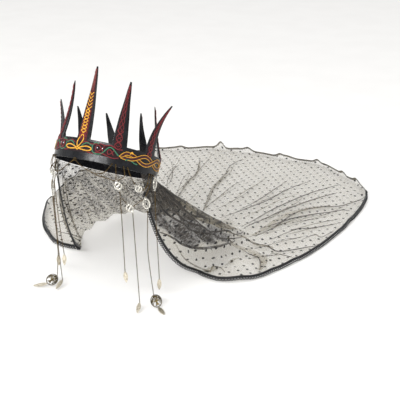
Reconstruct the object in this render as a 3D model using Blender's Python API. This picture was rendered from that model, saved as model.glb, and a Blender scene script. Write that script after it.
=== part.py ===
"""A spiked crown hung with fine chains, openwork charms, leaf drops and two tree medallions.

A long dotted veil is gathered under its lower rim from temple to temple and lies out behind it.
The crown is tilted back as it is worn: +Z is up, -Y is the wearer's front, +X the wearer's left.
The origin is the centre of the band's lower rim. Tables are in millimetres and degrees.
"""

import math
from collections import namedtuple

import bmesh
import bpy
from mathutils import Matrix, Vector

MM = 0.001
GAP = 0.3 * MM

BAND_RADIUS = 86.3 * MM
BAND_HEIGHT = 33.2 * MM
BAND_WALL = 2.5 * MM
BAND_TILT = math.radians(28.3)
BAND_COLUMNS = 90

SPIKE_HALF_COLUMNS = 2
SPIKE_TIP_WALL = 1.2 * MM
SPIKE_LEVELS = 7
Spike = namedtuple("Spike", "place length lean_back lean_left bow")
SPIKES = (
    Spike(0, 116.0, 28.0, -1.5, 2.0),
    Spike(40, 101.0, 24.0, 0.0, 3.0),
    Spike(-40, 93.0, 29.0, 2.0, 4.0),
    Spike(80, 84.5, 27.0, 16.0, 7.5),
    Spike(-80, 68.0, 12.0, -6.0, 2.0),
    Spike(120, 90.0, 2.5, -6.5, 2.0),
    Spike(-120, 73.0, 1.0, -8.0, 2.0),
    Spike(160, 82.0, 2.0, -7.0, 3.0),
    Spike(-160, 76.0, 0.0, -14.0, 2.0),
)
Taper = namedtuple("Taper", "rise width")
SPIKE_TAPER = (
    Taper(0.0, 1.0),
    Taper(0.19, 0.88),
    Taper(0.42, 0.70),
    Taper(0.67, 0.43),
    Taper(0.875, 0.24),
    Taper(1.0, 0.07),
)

LYING_HEIGHT = -216.6 * MM
VEIL_WALL = 1.2 * MM
VEIL_START = math.radians(72)
VEIL_END = math.radians(288)
VEIL_SEAM_RADIUS = 85.0 * MM
VEIL_SEAM_DROP = 0.9 * MM
VEIL_COLUMNS = 56
VEIL_ROWS = 14
VEIL_HANG_SHARE = 7 / 14
VEIL_FOLDS = 14
FOLD_DEPTH_HANGING = 9.0 * MM
FOLD_DEPTH_LYING = 4.0 * MM
FOLD_DEPTH_AT_RIM = 0.6 * MM
FOLD_PEAK = 0.65
HANG_DROP_POWER = 1.15
SIDE_SPREAD_STEADY = 0.45
SIDE_SPREAD_POWER = 3.5
Place = namedtuple("Place", "x y")
VEIL_FOOT = (
    Place(117, 112),
    Place(147, 154),
    Place(157, 220),
    Place(128, 294),
    Place(66, 310),
    Place(0, 314),
    Place(-66, 310),
    Place(-128, 294),
    Place(-157, 220),
    Place(-151, 150),
    Place(-124, 102),
)
VEIL_RIM = (
    Place(165, 103),
    Place(190, 111),
    Place(213, 129),
    Place(228, 157),
    Place(241, 194),
    Place(261, 244),
    Place(276, 312),
    Place(288, 397),
    Place(291, 468),
    Place(288, 570),
    Place(262, 635),
    Place(222, 674),
    Place(177, 708),
    Place(119, 746),
    Place(78, 740),
    Place(26, 741),
    Place(-64, 749),
    Place(-100, 732),
    Place(-136, 746),
    Place(-202, 697),
    Place(-268, 666),
    Place(-324, 578),
    Place(-344, 440),
    Place(-324, 305),
    Place(-286, 215),
    Place(-236, 147),
    Place(-186, 107),
)
EDGING_WIDTH = 5.5 * MM
EDGING_WALL = 1.4 * MM
EDGING_GAP = 2 * GAP
EDGING_START = 1
NUDGE = 0.004

CHAIN_RADIUS = 0.9 * MM
SWAG_STEP = 9.0 * MM
DROP_STEP = 15.0 * MM
BAND_STAND_OFF = CHAIN_RADIUS + 1.2 * GAP
LOOP_RADIUS = 2.0 * MM
LOOP_REACH = LOOP_RADIUS + 1.4 * GAP
CHAIN_SAMPLES = 600
CHAIN_SEAT_HEIGHT = 2.0 * MM
BRANCH_DROP = 2 * CHAIN_RADIUS + 1.5 * GAP
FORK_REACH = 5.5 * MM
FORK_DROP = Vector((0.3, 0.2, -9.0)) * MM
HOOK_CENTER = Vector((-6.5, -77.0, 40.0)) * MM
HOOK_RADIUS = 2.2 * MM
HOOK_WIRE = 0.6 * MM
HOOK_SIDES = 12
HOOK_WIRE_SIDES = 6
HOOK_REACH = HOOK_RADIUS + HOOK_WIRE + 2 * GAP
ROUTES = {
    "left": {
        "upper_swag": (
            (8.0, -83.5, 33.5),
            (24.0, -81.5, 25.5),
            (32.0, -79.5, 22.5),
            (40.0, -77.0, 23.5),
            (47.5, -73.5, 27.5),
        ),
        "lower_swag": ((43.5, -76.0, 17.5), (53.5, -72.5, 14.5)),
        "side_swag": ((70.5, -57.5, 17.0),),
        "band_link_2": ((78.0, -50.0, 15.0),),
        "band_link_3": ((94.5, -29.0, -4.5),),
        "band_link_4": ((93.5, -17.0, -8.0),),
        "drop_1": ((68.5, -65.5, -60.0),),
        "drop_3": ((83.0, -50.5, -110.0),),
        "drop_4": ((95.5, -33.0, -109.0), (98.0, -31.0, -153.0)),
        "drop_5": ((97.2, -7.8, -35.0), (100.3, -12.5, -62.0), (102.0, -12.3, -110.0)),
    },
    "right": {
        "upper_swag": (
            (-15.5, -82.0, 32.5),
            (-28.5, -80.0, 21.5),
            (-38.0, -77.0, 15.0),
            (-48.0, -71.5, 11.5),
        ),
        "side_swag": ((-66.5, -53.5, 17.0),),
        "band_link_2": ((-74.0, -47.0, 14.0),),
        "band_link_3": ((-90.5, -26.0, -4.5),),
        "band_link_4": ((-90.5, -15.0, -8.0),),
        "drop_1": ((-59.5, -56.0, -80.0),),
        "drop_3": ((-75.5, -42.0, -120.0),),
        "drop_4": ((-88.0, -24.0, -100.0), (-87.0, -25.0, -153.0)),
        "drop_5": ((-97.2, -7.8, -35.0), (-98.5, -10.5, -62.0), (-99.0, -10.0, -110.0)),
    },
}
BAND_SEATS = {
    "upper_swag": 36,
    "band_link_1": 40,
    "side_swag": 48.5,
    "band_link_2": 53,
    "band_link_3": 84,
    "band_link_4": 88.5,
    "band_link_5": 93,
}
DROP_ENDS = {
    "left": {
        1: (70.0, -64.0, -146.0),
        3: (87.2, -49.3, -205.6),
        4: (101.7, -27.6, -198.2),
        5: (104.0, -11.0, -176.2),
    },
    "right": {
        1: (-57.2, -50.0, -148.0),
        3: (-72.7, -37.9, -205.2),
        4: (-86.6, -32.9, -202.5),
        5: (-99.0, -9.0, -176.2),
    },
}

CHARM_WALL = 1.6 * MM
CHARM_WIRE = 1.15 * MM
CHARM_SIDES = 12
CHARM_BAR = ((0.28, 0.12), (-0.28, -0.12))
TUCK_BACK = 0.8
Charm = namedtuple("Charm", "number x y z width height facing roll tuck")
CHARMS = (
    Charm(1, 65.1, -68.3, 3.6, 13.0, 14.0, 36, 19, 7),
    Charm(2, 87.5, -43.6, -6.0, 11.5, 13.0, 42, 39, 7),
    Charm(3, 78.1, -56.2, -36.2, 12.4, 15.5, 35, 30, 7),
    Charm(4, 94.5, -32.0, -34.4, 13.0, 19.0, 32, 10, 6),
    Charm(5, 94.5, -3.0, -10.5, 12.5, 20.0, 86, 0, 0),
)

MEDALLION_RADIUS = 10.0 * MM
MEDALLION_RIM = 1.5 * MM
MEDALLION_HUB = 4.6 * MM
MEDALLION_WALL = 1.8 * MM
MEDALLION_TWIG = 0.45 * MM
MEDALLION_SIDES = 16
HORIZON = 8
TRUNK_FIRST = 11
TRUNK_LAST = 13
Cell = namedtuple("Cell", "first last at_rim")
MEDALLION_CANOPY = (
    Cell(0, 2, True),
    Cell(2, 4, True),
    Cell(4, 6, True),
    Cell(6, 8, True),
    Cell(0, 4, False),
    Cell(4, 8, False),
)
Pendant = namedtuple("Pendant", "name top bottom")
MEDALLIONS = (
    Pendant("medallion_left", (102.6, -28.0, -199.2), (114.0, -34.4, -214.4)),
    Pendant("medallion_right", (-87.2, -33.9, -203.3), (-95.6, -50.5, -210.8)),
)
TOWARD_FRONT_LEFT = Vector((0.41, -0.83, 0.38))

LEAF_WIDTH = 5.6 * MM
LEAF_WALL = 1.3 * MM
LEAF_RIDGE = 1.0 * MM
LEAF_OUTLINE = (0.16, 0.8, 1.0, 0.66, 0.1)
Leaf = namedtuple("Leaf", "name top tip lies")
LEAVES = (
    Leaf("leaf_1_left", (70.0, -64.0, -146.8), (71.5, -63.0, -166.0), False),
    Leaf("leaf_3_left", (87.4, -50.2, -206.6), (92.9, -67.7, -214.0), False),
    Leaf("leaf_4_left", (114.8, -34.9, -215.5), (133.0, -49.5, -216.4), True),
    Leaf("leaf_5_left", (104.0, -11.0, -177.0), (103.4, -11.3, -196.0), False),
    Leaf("leaf_1_right", (-57.2, -50.0, -148.8), (-57.7, -50.4, -168.0), False),
    Leaf("leaf_3_right", (-72.8, -38.6, -206.0), (-74.0, -56.5, -214.0), False),
    Leaf("leaf_4_right", (-96.2, -51.6, -211.3), (-119.0, -60.2, -216.2), True),
    Leaf("leaf_5_right", (-99.0, -9.0, -177.0), (-98.6, -9.3, -196.0), False),
)

# The black of the stiffened strap, the antique bronze of the chains and the grey of the charms
STRAP_BLACK = (0.012, 0.011, 0.012)
NET_BLACK = (0.03, 0.03, 0.032)
RIBBON_BLACK = (0.01, 0.01, 0.011)
CHAIN_BRONZE = (0.23, 0.18, 0.105)
CHARM_SILVER = (0.55, 0.54, 0.51)
MEDALLION_BRONZE = (0.18, 0.145, 0.09)


def make_material(name, color, roughness, metallic):
    material = bpy.data.materials.new(name)
    material.use_nodes = True
    shader = material.node_tree.nodes["Principled BSDF"]
    shader.inputs["Base Color"].default_value = (*color, 1.0)
    shader.inputs["Roughness"].default_value = roughness
    shader.inputs["Metallic"].default_value = metallic
    return material


def add_object(name, data, material):
    """Link a new object for this mesh or curve, with its material."""
    data.materials.append(material)
    thing = bpy.data.objects.new(name, data)
    bpy.context.scene.collection.objects.link(thing)
    return thing


def finish_mesh(bm, name, material, smooth_below=40.0):
    mesh = bpy.data.meshes.new(name)
    bm.to_mesh(mesh)
    bm.free()
    thing = add_object(name, mesh, material)
    mesh.shade_smooth()
    mesh.set_sharp_from_angle(angle=math.radians(smooth_below))
    return thing


def blend(first, last, share):
    return first + (last - first) * share


def smooth_place(points, share):
    """The place at this share, by chord length, of the smooth curve through the points."""
    chords = [(b - a).length for a, b in zip(points, points[1:])]
    left = min(max(share, 0.0), 1.0) * sum(chords)
    span = 0
    while span < len(chords) - 1 and left > chords[span]:
        left -= chords[span]
        span += 1
    t = min(left / chords[span], 1.0)
    a, b = points[span], points[span + 1]
    before = points[span - 1] if span > 0 else a - (b - a)
    after = points[span + 2] if span + 2 < len(points) else b + (b - a)
    start_pull = (b - before) * 0.5
    end_pull = (after - a) * 0.5
    return (
        a * (2 * t**3 - 3 * t**2 + 1)
        + start_pull * (t**3 - 2 * t**2 + t)
        + b * (3 * t**2 - 2 * t**3)
        + end_pull * (t**3 - t**2)
    )


def band_point(angle, height=0.0, radius=BAND_RADIUS):
    """The place at this angle from the front and height above the tilted band's lower rim."""
    level = Vector((math.sin(angle) * radius, -math.cos(angle) * radius, height))
    return Matrix.Rotation(-BAND_TILT, 3, "X") @ level


def taper_width(rise):
    """The share of its foot's width that a spike keeps at this share of its length."""
    for low, high in zip(SPIKE_TAPER, SPIKE_TAPER[1:]):
        if rise <= high.rise:
            return blend(low.width, high.width, (rise - low.rise) / (high.rise - low.rise))
    return SPIKE_TAPER[-1].width


def spike_point(spike, angle, inside, rise):
    """The place on one face of a spike, above this angle of the band, at this share of its length."""
    middle = math.radians(spike.place)
    foot = band_point(middle, BAND_HEIGHT)
    edge = band_point(angle, BAND_HEIGHT)
    lean_left = math.tan(math.radians(spike.lean_left))
    lean_back = math.tan(math.radians(spike.lean_back))
    axis = Vector((lean_left, lean_back, 1.0)).normalized() * spike.length * MM
    inward = Vector((-math.sin(middle), math.cos(middle), 0.0)) * spike.bow * MM
    place = foot + axis * rise + inward * (4 * rise * (1 - rise))
    place += (edge - foot) * taper_width(rise)
    if inside:
        wall = blend(BAND_WALL, SPIKE_TIP_WALL, rise)
        place -= (band_point(middle) / BAND_RADIUS) * wall
    return place


def make_crown(material):
    """The band, spun from its section, with each spike drawn up out of its top edge."""
    bm = bmesh.new()
    inner = BAND_RADIUS - BAND_WALL
    corners = ((inner, 0), (BAND_RADIUS, 0), (BAND_RADIUS, BAND_HEIGHT), (inner, BAND_HEIGHT))
    section = [bm.verts.new((0.0, -radius, height)) for radius, height in corners]
    edges = [bm.edges.new((section[i - 1], section[i])) for i in range(len(section))]
    bmesh.ops.spin(
        bm,
        geom=section + edges,
        cent=(0, 0, 0),
        axis=(0, 0, 1),
        angle=math.tau,
        steps=BAND_COLUMNS,
        use_merge=True,
    )
    bmesh.ops.remove_doubles(bm, verts=bm.verts, dist=0.01 * MM)
    bmesh.ops.recalc_face_normals(bm, faces=bm.faces)

    angle_of = bm.verts.layers.float.new("angle")
    inside_of = bm.verts.layers.int.new("inside")
    for vert in bm.verts:
        x, y, _ = vert.co
        vert[angle_of] = math.atan2(x, -y)
        vert[inside_of] = int(math.hypot(x, y) < BAND_RADIUS - BAND_WALL / 2)
    top = [face for face in bm.faces if all(v.co.z > BAND_HEIGHT / 2 for v in face.verts)]
    middles = {face: face.calc_center_median() for face in top}
    bmesh.ops.rotate(bm, verts=bm.verts, cent=(0, 0, 0), matrix=Matrix.Rotation(-BAND_TILT, 3, "X"))

    reach = math.tau / BAND_COLUMNS * SPIKE_HALF_COLUMNS
    for spike in SPIKES:
        place = math.radians(spike.place)
        foot = Vector((math.sin(place), -math.cos(place)))
        crest = [f for f in middles if middles[f].xy.angle(foot) < reach]
        for level in range(SPIKE_LEVELS):
            raised = bmesh.ops.extrude_face_region(bm, geom=crest)["geom"]
            bmesh.ops.delete(bm, geom=crest, context="FACES")
            crest = [item for item in raised if isinstance(item, bmesh.types.BMFace)]
            rise = (level + 1) / SPIKE_LEVELS
            for vert in {v for face in crest for v in face.verts}:
                vert.co = spike_point(spike, vert[angle_of], vert[inside_of], rise)
        middles = {f: middle for f, middle in middles.items() if f.is_valid}
    bmesh.ops.recalc_face_normals(bm, faces=bm.faces)
    return finish_mesh(bm, "crown", material)


def veil_seam(along):
    return band_point(blend(VEIL_START, VEIL_END, along), -VEIL_SEAM_DROP, VEIL_SEAM_RADIUS)


def place_on_floor(places, along):
    return smooth_place([Vector((p.x * MM, p.y * MM, LYING_HEIGHT)) for p in places], along)


def veil_base(along, down):
    """The veil without its folds: it falls from the seam to its foot, then lies out to its rim."""
    seam = veil_seam(along)
    foot = place_on_floor(VEIL_FOOT, along)
    if down >= VEIL_HANG_SHARE:
        lying = (down - VEIL_HANG_SHARE) / (1 - VEIL_HANG_SHARE)
        return foot.lerp(place_on_floor(VEIL_RIM, along), lying)
    hanging = down / VEIL_HANG_SHARE
    sideness = (2 * along - 1) ** 2
    drop = blend(1 - (1 - hanging) ** HANG_DROP_POWER, hanging, sideness)
    side_spread = blend(hanging**SIDE_SPREAD_POWER, hanging, SIDE_SPREAD_STEADY)
    spread = blend(hanging, side_spread, sideness)
    place = seam.lerp(foot, spread)
    place.z = blend(seam.z, foot.z, drop)
    return place


def fold_depth(along, down):
    if down < VEIL_HANG_SHARE:
        hanging = down / VEIL_HANG_SHARE
        depth = FOLD_DEPTH_HANGING * math.sin(math.pi / 2 * hanging / FOLD_PEAK)
    else:
        lying = (down - VEIL_HANG_SHARE) / (1 - VEIL_HANG_SHARE)
        start = FOLD_DEPTH_HANGING * math.sin(math.pi / 2 / FOLD_PEAK)
        early = min(lying * 4, 1.0)
        depth = blend(blend(start, FOLD_DEPTH_LYING, early), FOLD_DEPTH_AT_RIM, lying**2)
    return depth * (1 - math.cos(math.tau * VEIL_FOLDS * along)) / 2


def veil_normal(along, down):
    """The direction square to the veil without its folds, away from the head or up."""
    across = veil_base(min(along + NUDGE, 1), down) - veil_base(max(along - NUDGE, 0), down)
    fall = veil_base(along, min(down + NUDGE, 1)) - veil_base(along, max(down - NUDGE, 0))
    return fall.cross(across).normalized()


def veil_point(along, down):
    """A place on the veil, raised off its base shape by the folds that run down it."""
    outward = veil_normal(along, down)
    outward.z = max(outward.z, 0)
    return veil_base(along, down) + outward * fold_depth(along, down)


def make_veil(material):
    bm = bmesh.new()
    bmesh.ops.create_grid(bm, x_segments=VEIL_COLUMNS, y_segments=VEIL_ROWS, size=0.5)
    for vert in bm.verts:
        vert.co = veil_point(vert.co.x + 0.5, vert.co.y + 0.5)
    veil = finish_mesh(bm, "veil", material, smooth_below=70.0)
    wall = veil.modifiers.new("Wall", "SOLIDIFY")
    wall.thickness = VEIL_WALL
    wall.offset = 0.0
    return veil


def edging_stations():
    """Places on the veil's free edge, each with the veil's normal there, from temple to temple."""
    rows = [row / VEIL_ROWS for row in range(EDGING_START, VEIL_ROWS)]
    stations = [(0.0, row) for row in rows]
    stations += [(column / VEIL_COLUMNS, 1.0) for column in range(VEIL_COLUMNS + 1)]
    stations += [(1.0, row) for row in reversed(rows)]
    return [(veil_point(*station), veil_normal(*station)) for station in stations]


def make_edging(material):
    """The flat ribbon beyond the veil's free edge."""
    stations = edging_stations()
    bm = bmesh.new()
    bmesh.ops.create_grid(bm, x_segments=len(stations) - 1, y_segments=1, size=0.5)
    for vert in bm.verts:
        index = round((vert.co.x + 0.5) * (len(stations) - 1))
        edge, normal = stations[index]
        ahead = stations[min(index + 1, len(stations) - 1)][0]
        behind = stations[max(index - 1, 0)][0]
        outward = (ahead - behind).cross(normal).normalized()
        reach = EDGING_GAP if vert.co.y < 0 else EDGING_GAP + EDGING_WIDTH
        vert.co = edge + outward * reach
    bmesh.ops.recalc_face_normals(bm, faces=bm.faces)
    ribbon = finish_mesh(bm, "veil_edging", material, smooth_below=70.0)
    wall = ribbon.modifiers.new("Wall", "SOLIDIFY")
    wall.thickness = EDGING_WALL
    wall.offset = 0.0
    return ribbon


def mirrored(point, side):
    return Vector((point[0] * side, point[1], point[2]))


def charm_frame(charm, side):
    """Matrix of a charm: its face looks along Z, and its loops lie on Y above and below it."""
    facing = math.radians(charm.facing) * side
    normal = Vector((math.sin(facing), -math.cos(facing), 0.0))
    up = Matrix.Rotation(math.radians(charm.roll) * side, 3, normal) @ Vector((0, 0, 1))
    turn = Matrix((up.cross(normal), up, normal)).transposed()
    tuck = charm.tuck if side < 0 else 0
    center = mirrored((charm.x - tuck, charm.y + TUCK_BACK * tuck, charm.z), side) * MM
    return Matrix.Translation(center) @ turn.to_4x4()


def charm_loop(number, side, end):
    """The centre of a charm's upper (end 1) or lower (end -1) loop."""
    charm = CHARMS[number - 1]
    arm = charm.height * MM / 2 + LOOP_RADIUS / 2
    return charm_frame(charm, side) @ Vector((0.0, arm * end, 0.0))


def pierce(bm, cells, wire):
    """Cut each cell through, leaving a wire of this width inside its outline."""
    bm.normal_update()
    bmesh.ops.inset_individual(bm, faces=cells, thickness=wire, use_even_offset=True)
    bmesh.ops.delete(bm, geom=cells, context="FACES")


def thicken(bm, wall):
    """Give a flat pierced pattern its wall, half to each side."""
    bmesh.ops.recalc_face_normals(bm, faces=bm.faces)
    bmesh.ops.translate(bm, verts=bm.verts, vec=(0, 0, -wall / 2))
    back = bm.faces[:]
    raised = bmesh.ops.extrude_face_region(bm, geom=back, use_keep_orig=True)["geom"]
    front = [item for item in raised if isinstance(item, bmesh.types.BMVert)]
    bmesh.ops.translate(bm, verts=front, vec=(0, 0, wall))
    bmesh.ops.recalc_face_normals(bm, faces=bm.faces)


def make_charm(charm, side, material):
    """An oval of two open cells with a slanting bar between, and a loop at each end."""
    bm = bmesh.new()
    half_width = charm.width * MM / 2
    half_height = charm.height * MM / 2
    oval = []
    for step in range(CHARM_SIDES):
        turn = math.tau * (step + 0.5) / CHARM_SIDES
        oval.append(bm.verts.new((half_width * math.sin(turn), half_height * math.cos(turn), 0)))
    bar = [bm.verts.new((half_width * x, half_height * y, 0)) for x, y in CHARM_BAR]
    cells = [
        bm.faces.new(oval[7:] + oval[:2] + bar),
        bm.faces.new(oval[1:8] + bar[::-1]),
    ]
    for end, feet in ((1, (oval[11], oval[0])), (-1, (oval[5], oval[6]))):
        middle = half_height + LOOP_RADIUS / 2
        ring = []
        for step in range(-2, 3):
            x = LOOP_RADIUS * math.sin(step * math.pi / 4)
            y = middle + LOOP_RADIUS * math.cos(step * math.pi / 4)
            ring.append(bm.verts.new((x * end, y * end, 0)))
        cells.append(bm.faces.new([feet[0], *ring, feet[1]]))
    pierce(bm, cells, CHARM_WIRE)
    thicken(bm, CHARM_WALL)
    bmesh.ops.transform(bm, matrix=charm_frame(charm, side), verts=bm.verts)
    side_name = "left" if side > 0 else "right"
    return finish_mesh(bm, f"charm_{charm.number}_{side_name}", material)


def hanging_frame(top, bottom, facing):
    """Matrix of a flat pendant at the middle of top and bottom, its face turned toward facing."""
    up = (top - bottom).normalized()
    normal = (facing - up * facing.dot(up)).normalized()
    turn = Matrix((up.cross(normal), up, normal)).transposed()
    return Matrix.Translation((top + bottom) / 2) @ turn.to_4x4()


def make_medallion(pendant, material):
    """A round rim with a tree in it: a flared trunk below, and a canopy of small cells above."""
    bm = bmesh.new()

    def ring_of(radius):
        turns = [math.tau * step / MEDALLION_SIDES for step in range(MEDALLION_SIDES)]
        return [bm.verts.new((radius * math.cos(t), radius * math.sin(t), 0)) for t in turns]

    outer = ring_of(MEDALLION_RADIUS)
    inner = ring_of(MEDALLION_RADIUS - MEDALLION_RIM)
    hub = ring_of(MEDALLION_HUB)
    center = bm.verts.new((0, 0, 0))
    for step in range(MEDALLION_SIDES):
        bm.faces.new((outer[step - 1], outer[step], inner[step], inner[step - 1]))
    bm.faces.new((*inner[TRUNK_FIRST : TRUNK_LAST + 1], center))
    cells = [
        bm.faces.new((*inner[HORIZON : TRUNK_FIRST + 1], center, hub[HORIZON])),
        bm.faces.new((*inner[TRUNK_LAST:], inner[0], hub[0], center)),
    ]
    for cell in MEDALLION_CANOPY:
        arc = slice(cell.first, cell.last + 1)
        if cell.at_rim:
            cells.append(bm.faces.new(inner[arc] + hub[arc][::-1]))
        else:
            cells.append(bm.faces.new([*hub[arc], center]))
    bmesh.ops.delete(bm, geom=hub[HORIZON + 1 :], context="VERTS")
    pierce(bm, cells, MEDALLION_TWIG)
    thicken(bm, MEDALLION_WALL)
    place = hanging_frame(Vector(pendant.top) * MM, Vector(pendant.bottom) * MM, TOWARD_FRONT_LEFT)
    bmesh.ops.transform(bm, matrix=place, verts=bm.verts)
    return finish_mesh(bm, pendant.name, material)


def make_leaf(leaf, material):
    """A slender leaf with a raised rib, from its stem at top to its tip."""
    top = Vector(leaf.top) * MM
    tip = Vector(leaf.tip) * MM
    bm = bmesh.new()
    rows = len(LEAF_OUTLINE) - 1
    bmesh.ops.create_grid(bm, x_segments=2, y_segments=rows, size=0.5)
    for vert in bm.verts:
        width = LEAF_OUTLINE[round((0.5 - vert.co.y) * rows)]
        vert.co.z = LEAF_RIDGE * width if abs(vert.co.x) < 0.1 else 0.0
        vert.co.x *= LEAF_WIDTH * width
        vert.co.y *= (top - tip).length
    facing = Vector((0, 0, 1)) if leaf.lies else TOWARD_FRONT_LEFT
    bmesh.ops.transform(bm, matrix=hanging_frame(top, tip, facing), verts=bm.verts)
    thing = finish_mesh(bm, leaf.name, material, smooth_below=20.0)
    wall = thing.modifiers.new("Wall", "SOLIDIFY")
    wall.thickness = LEAF_WALL
    wall.offset = 0.0
    return thing


def make_hook(material):
    """The ring at the middle of the brow, against the front of the band's lower rim."""
    bm = bmesh.new()
    wire = bmesh.ops.create_circle(bm, segments=HOOK_WIRE_SIDES, radius=HOOK_WIRE)["verts"]
    bmesh.ops.rotate(bm, verts=wire, cent=(0, 0, 0), matrix=Matrix.Rotation(math.pi / 2, 3, "X"))
    bmesh.ops.translate(bm, verts=wire, vec=(HOOK_RADIUS, 0, 0))
    bmesh.ops.spin(
        bm,
        geom=bm.verts[:] + bm.edges[:],
        cent=(0, 0, 0),
        axis=(0, 0, 1),
        angle=math.tau,
        steps=HOOK_SIDES,
        use_merge=True,
    )
    bmesh.ops.remove_doubles(bm, verts=bm.verts, dist=0.01 * MM)
    bmesh.ops.recalc_face_normals(bm, faces=bm.faces)
    place = Matrix.Translation(HOOK_CENTER) @ Matrix.Rotation(math.pi / 2, 4, "X")
    bmesh.ops.transform(bm, matrix=place, verts=bm.verts)
    return finish_mesh(bm, "center_hook", material)


def make_chain(name, places, material, step=SWAG_STEP, short_start=0.0, short_end=0.0):
    """The round outer form of a chain, which stops short of the places it runs between."""
    fine = [smooth_place(places, share / CHAIN_SAMPLES) for share in range(CHAIN_SAMPLES + 1)]
    kept = [p for p in fine if (p - places[0]).length >= short_start]
    kept = [p for p in kept if (p - places[-1]).length >= short_end]
    length = sum((b - a).length for a, b in zip(kept, kept[1:]))
    pieces = max(2, round(length / step))
    curve = bpy.data.curves.new(name, "CURVE")
    curve.dimensions = "3D"
    curve.bevel_depth = CHAIN_RADIUS
    curve.bevel_resolution = 2
    curve.use_fill_caps = True
    spline = curve.splines.new("POLY")
    spline.points.add(pieces)
    for index, point in enumerate(spline.points):
        point.co = (*smooth_place(kept, index / pieces), 1.0)
    return add_object(name, curve, material)


def band_seat(name, side):
    """Where a chain meets the band's outer face, just above its lower rim."""
    angle = math.radians(BAND_SEATS[name]) * side
    return band_point(angle, CHAIN_SEAT_HEIGHT, BAND_RADIUS + BAND_STAND_OFF)


def charm_edge(number, side):
    """A place just clear of a charm's outer side, toward the back of the head."""
    charm = CHARMS[number - 1]
    reach = charm.width * MM / 2 + 2 * GAP
    return charm_frame(charm, side) @ Vector((reach * side, 0.0, 0.0))


def make_chains(side, material):
    """All the chains on one side of the face."""
    suffix = "left" if side > 0 else "right"
    routes = ROUTES[suffix]

    def chain(name, start, end, **settings):
        middle = [Vector(place) * MM for place in routes.get(name, ())]
        make_chain(f"{name}_{suffix}", [start, *middle, end], material, **settings)

    loops = {(n, end): charm_loop(n, side, end) for n in (1, 2, 3, 4, 5) for end in (1, -1)}
    seats = {name: band_seat(name, side) for name in BAND_SEATS}
    fork = loops[1, -1] + FORK_DROP
    at_loop = LOOP_REACH
    if side > 0:
        chain("upper_swag", HOOK_CENTER, seats["upper_swag"], short_start=HOOK_REACH)
        branch = Vector(routes["upper_swag"][2]) * MM - Vector((0, 0, BRANCH_DROP))
        chain("lower_swag", branch, loops[1, 1], short_end=at_loop)
    else:
        chain("upper_swag", HOOK_CENTER, loops[1, 1], short_start=HOOK_REACH, short_end=at_loop)
    chain("side_swag", loops[1, 1], seats["side_swag"], short_start=at_loop)
    chain("band_link_1", seats["band_link_1"], loops[1, 1], short_end=at_loop)
    chain("band_link_2", seats["band_link_2"], loops[2, 1], short_end=at_loop)
    chain("band_link_3", loops[2, -1], seats["band_link_3"], short_start=at_loop)
    chain("band_link_4", loops[4, 1], seats["band_link_4"], short_start=at_loop)
    chain("band_link_5", seats["band_link_5"], loops[5, 1], short_end=at_loop)
    chain("charm_link_1", fork, loops[3, 1], short_start=FORK_REACH, short_end=at_loop)
    chain("charm_link_2", charm_edge(3, side), loops[4, 1], short_end=at_loop)
    for number in (1, 3, 4, 5):
        name = f"drop_{number}"
        end = Vector(DROP_ENDS[suffix][number]) * MM
        chain(name, loops[number, -1], end, step=DROP_STEP, short_start=at_loop)


def build():
    for thing in list(bpy.data.objects):
        bpy.data.objects.remove(thing)
    strap = make_material("strap_black", STRAP_BLACK, 0.35, 0.0)
    net = make_material("net_black", NET_BLACK, 0.9, 0.0)
    ribbon = make_material("ribbon_black", RIBBON_BLACK, 0.4, 0.0)
    bronze = make_material("chain_bronze", CHAIN_BRONZE, 0.35, 1.0)
    silver = make_material("charm_silver", CHARM_SILVER, 0.3, 1.0)
    dark_bronze = make_material("medallion_bronze", MEDALLION_BRONZE, 0.4, 1.0)
    make_crown(strap)
    make_veil(net)
    make_edging(ribbon)
    make_hook(bronze)
    for side in (1, -1):
        make_chains(side, bronze)
        for charm in CHARMS:
            make_charm(charm, side, silver)
    for pendant in MEDALLIONS:
        make_medallion(pendant, dark_bronze)
    for leaf in LEAVES:
        make_leaf(leaf, silver)


build()
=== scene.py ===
"""The looks of a spiked crown hung with chains and charms, with a long dotted veil.

The strapwork, its embroidery, every chain link, the cast charms and the gathered tulle are
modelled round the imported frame. Tables are in millimetres and degrees, as the part's source
gives them. -Y is the wearer's front, +X the wearer's left, +Z up.
"""

import math
import random
from collections import namedtuple
from functools import lru_cache

import bmesh
import bpy
from mathutils import Matrix, Vector, noise


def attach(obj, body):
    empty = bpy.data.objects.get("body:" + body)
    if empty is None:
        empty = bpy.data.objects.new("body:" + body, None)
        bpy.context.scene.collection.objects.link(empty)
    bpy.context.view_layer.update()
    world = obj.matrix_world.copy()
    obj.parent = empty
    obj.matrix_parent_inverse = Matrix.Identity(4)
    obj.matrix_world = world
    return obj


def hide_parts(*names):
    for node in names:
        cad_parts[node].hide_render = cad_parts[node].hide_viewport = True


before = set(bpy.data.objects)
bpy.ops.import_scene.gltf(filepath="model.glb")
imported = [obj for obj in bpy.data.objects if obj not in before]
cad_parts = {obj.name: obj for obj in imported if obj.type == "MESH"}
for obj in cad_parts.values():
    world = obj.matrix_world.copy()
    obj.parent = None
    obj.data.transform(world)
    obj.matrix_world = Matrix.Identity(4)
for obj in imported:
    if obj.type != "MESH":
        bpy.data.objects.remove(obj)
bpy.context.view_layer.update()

bl_info = {
    "name": "Spiked crown with a dotted veil",
    "version": (1, 0, 0),
    "blender": (4, 5, 0),
    "location": "3D View > Sidebar > Headdress",
    "description": "Models the strapwork, embroidery, chains, charms and tulle of a costume crown",
    "category": "Object",
}

MM = 0.001
SIDES = {1: "left", -1: "right"}
UP = Vector((0, 0, 1))

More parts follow.
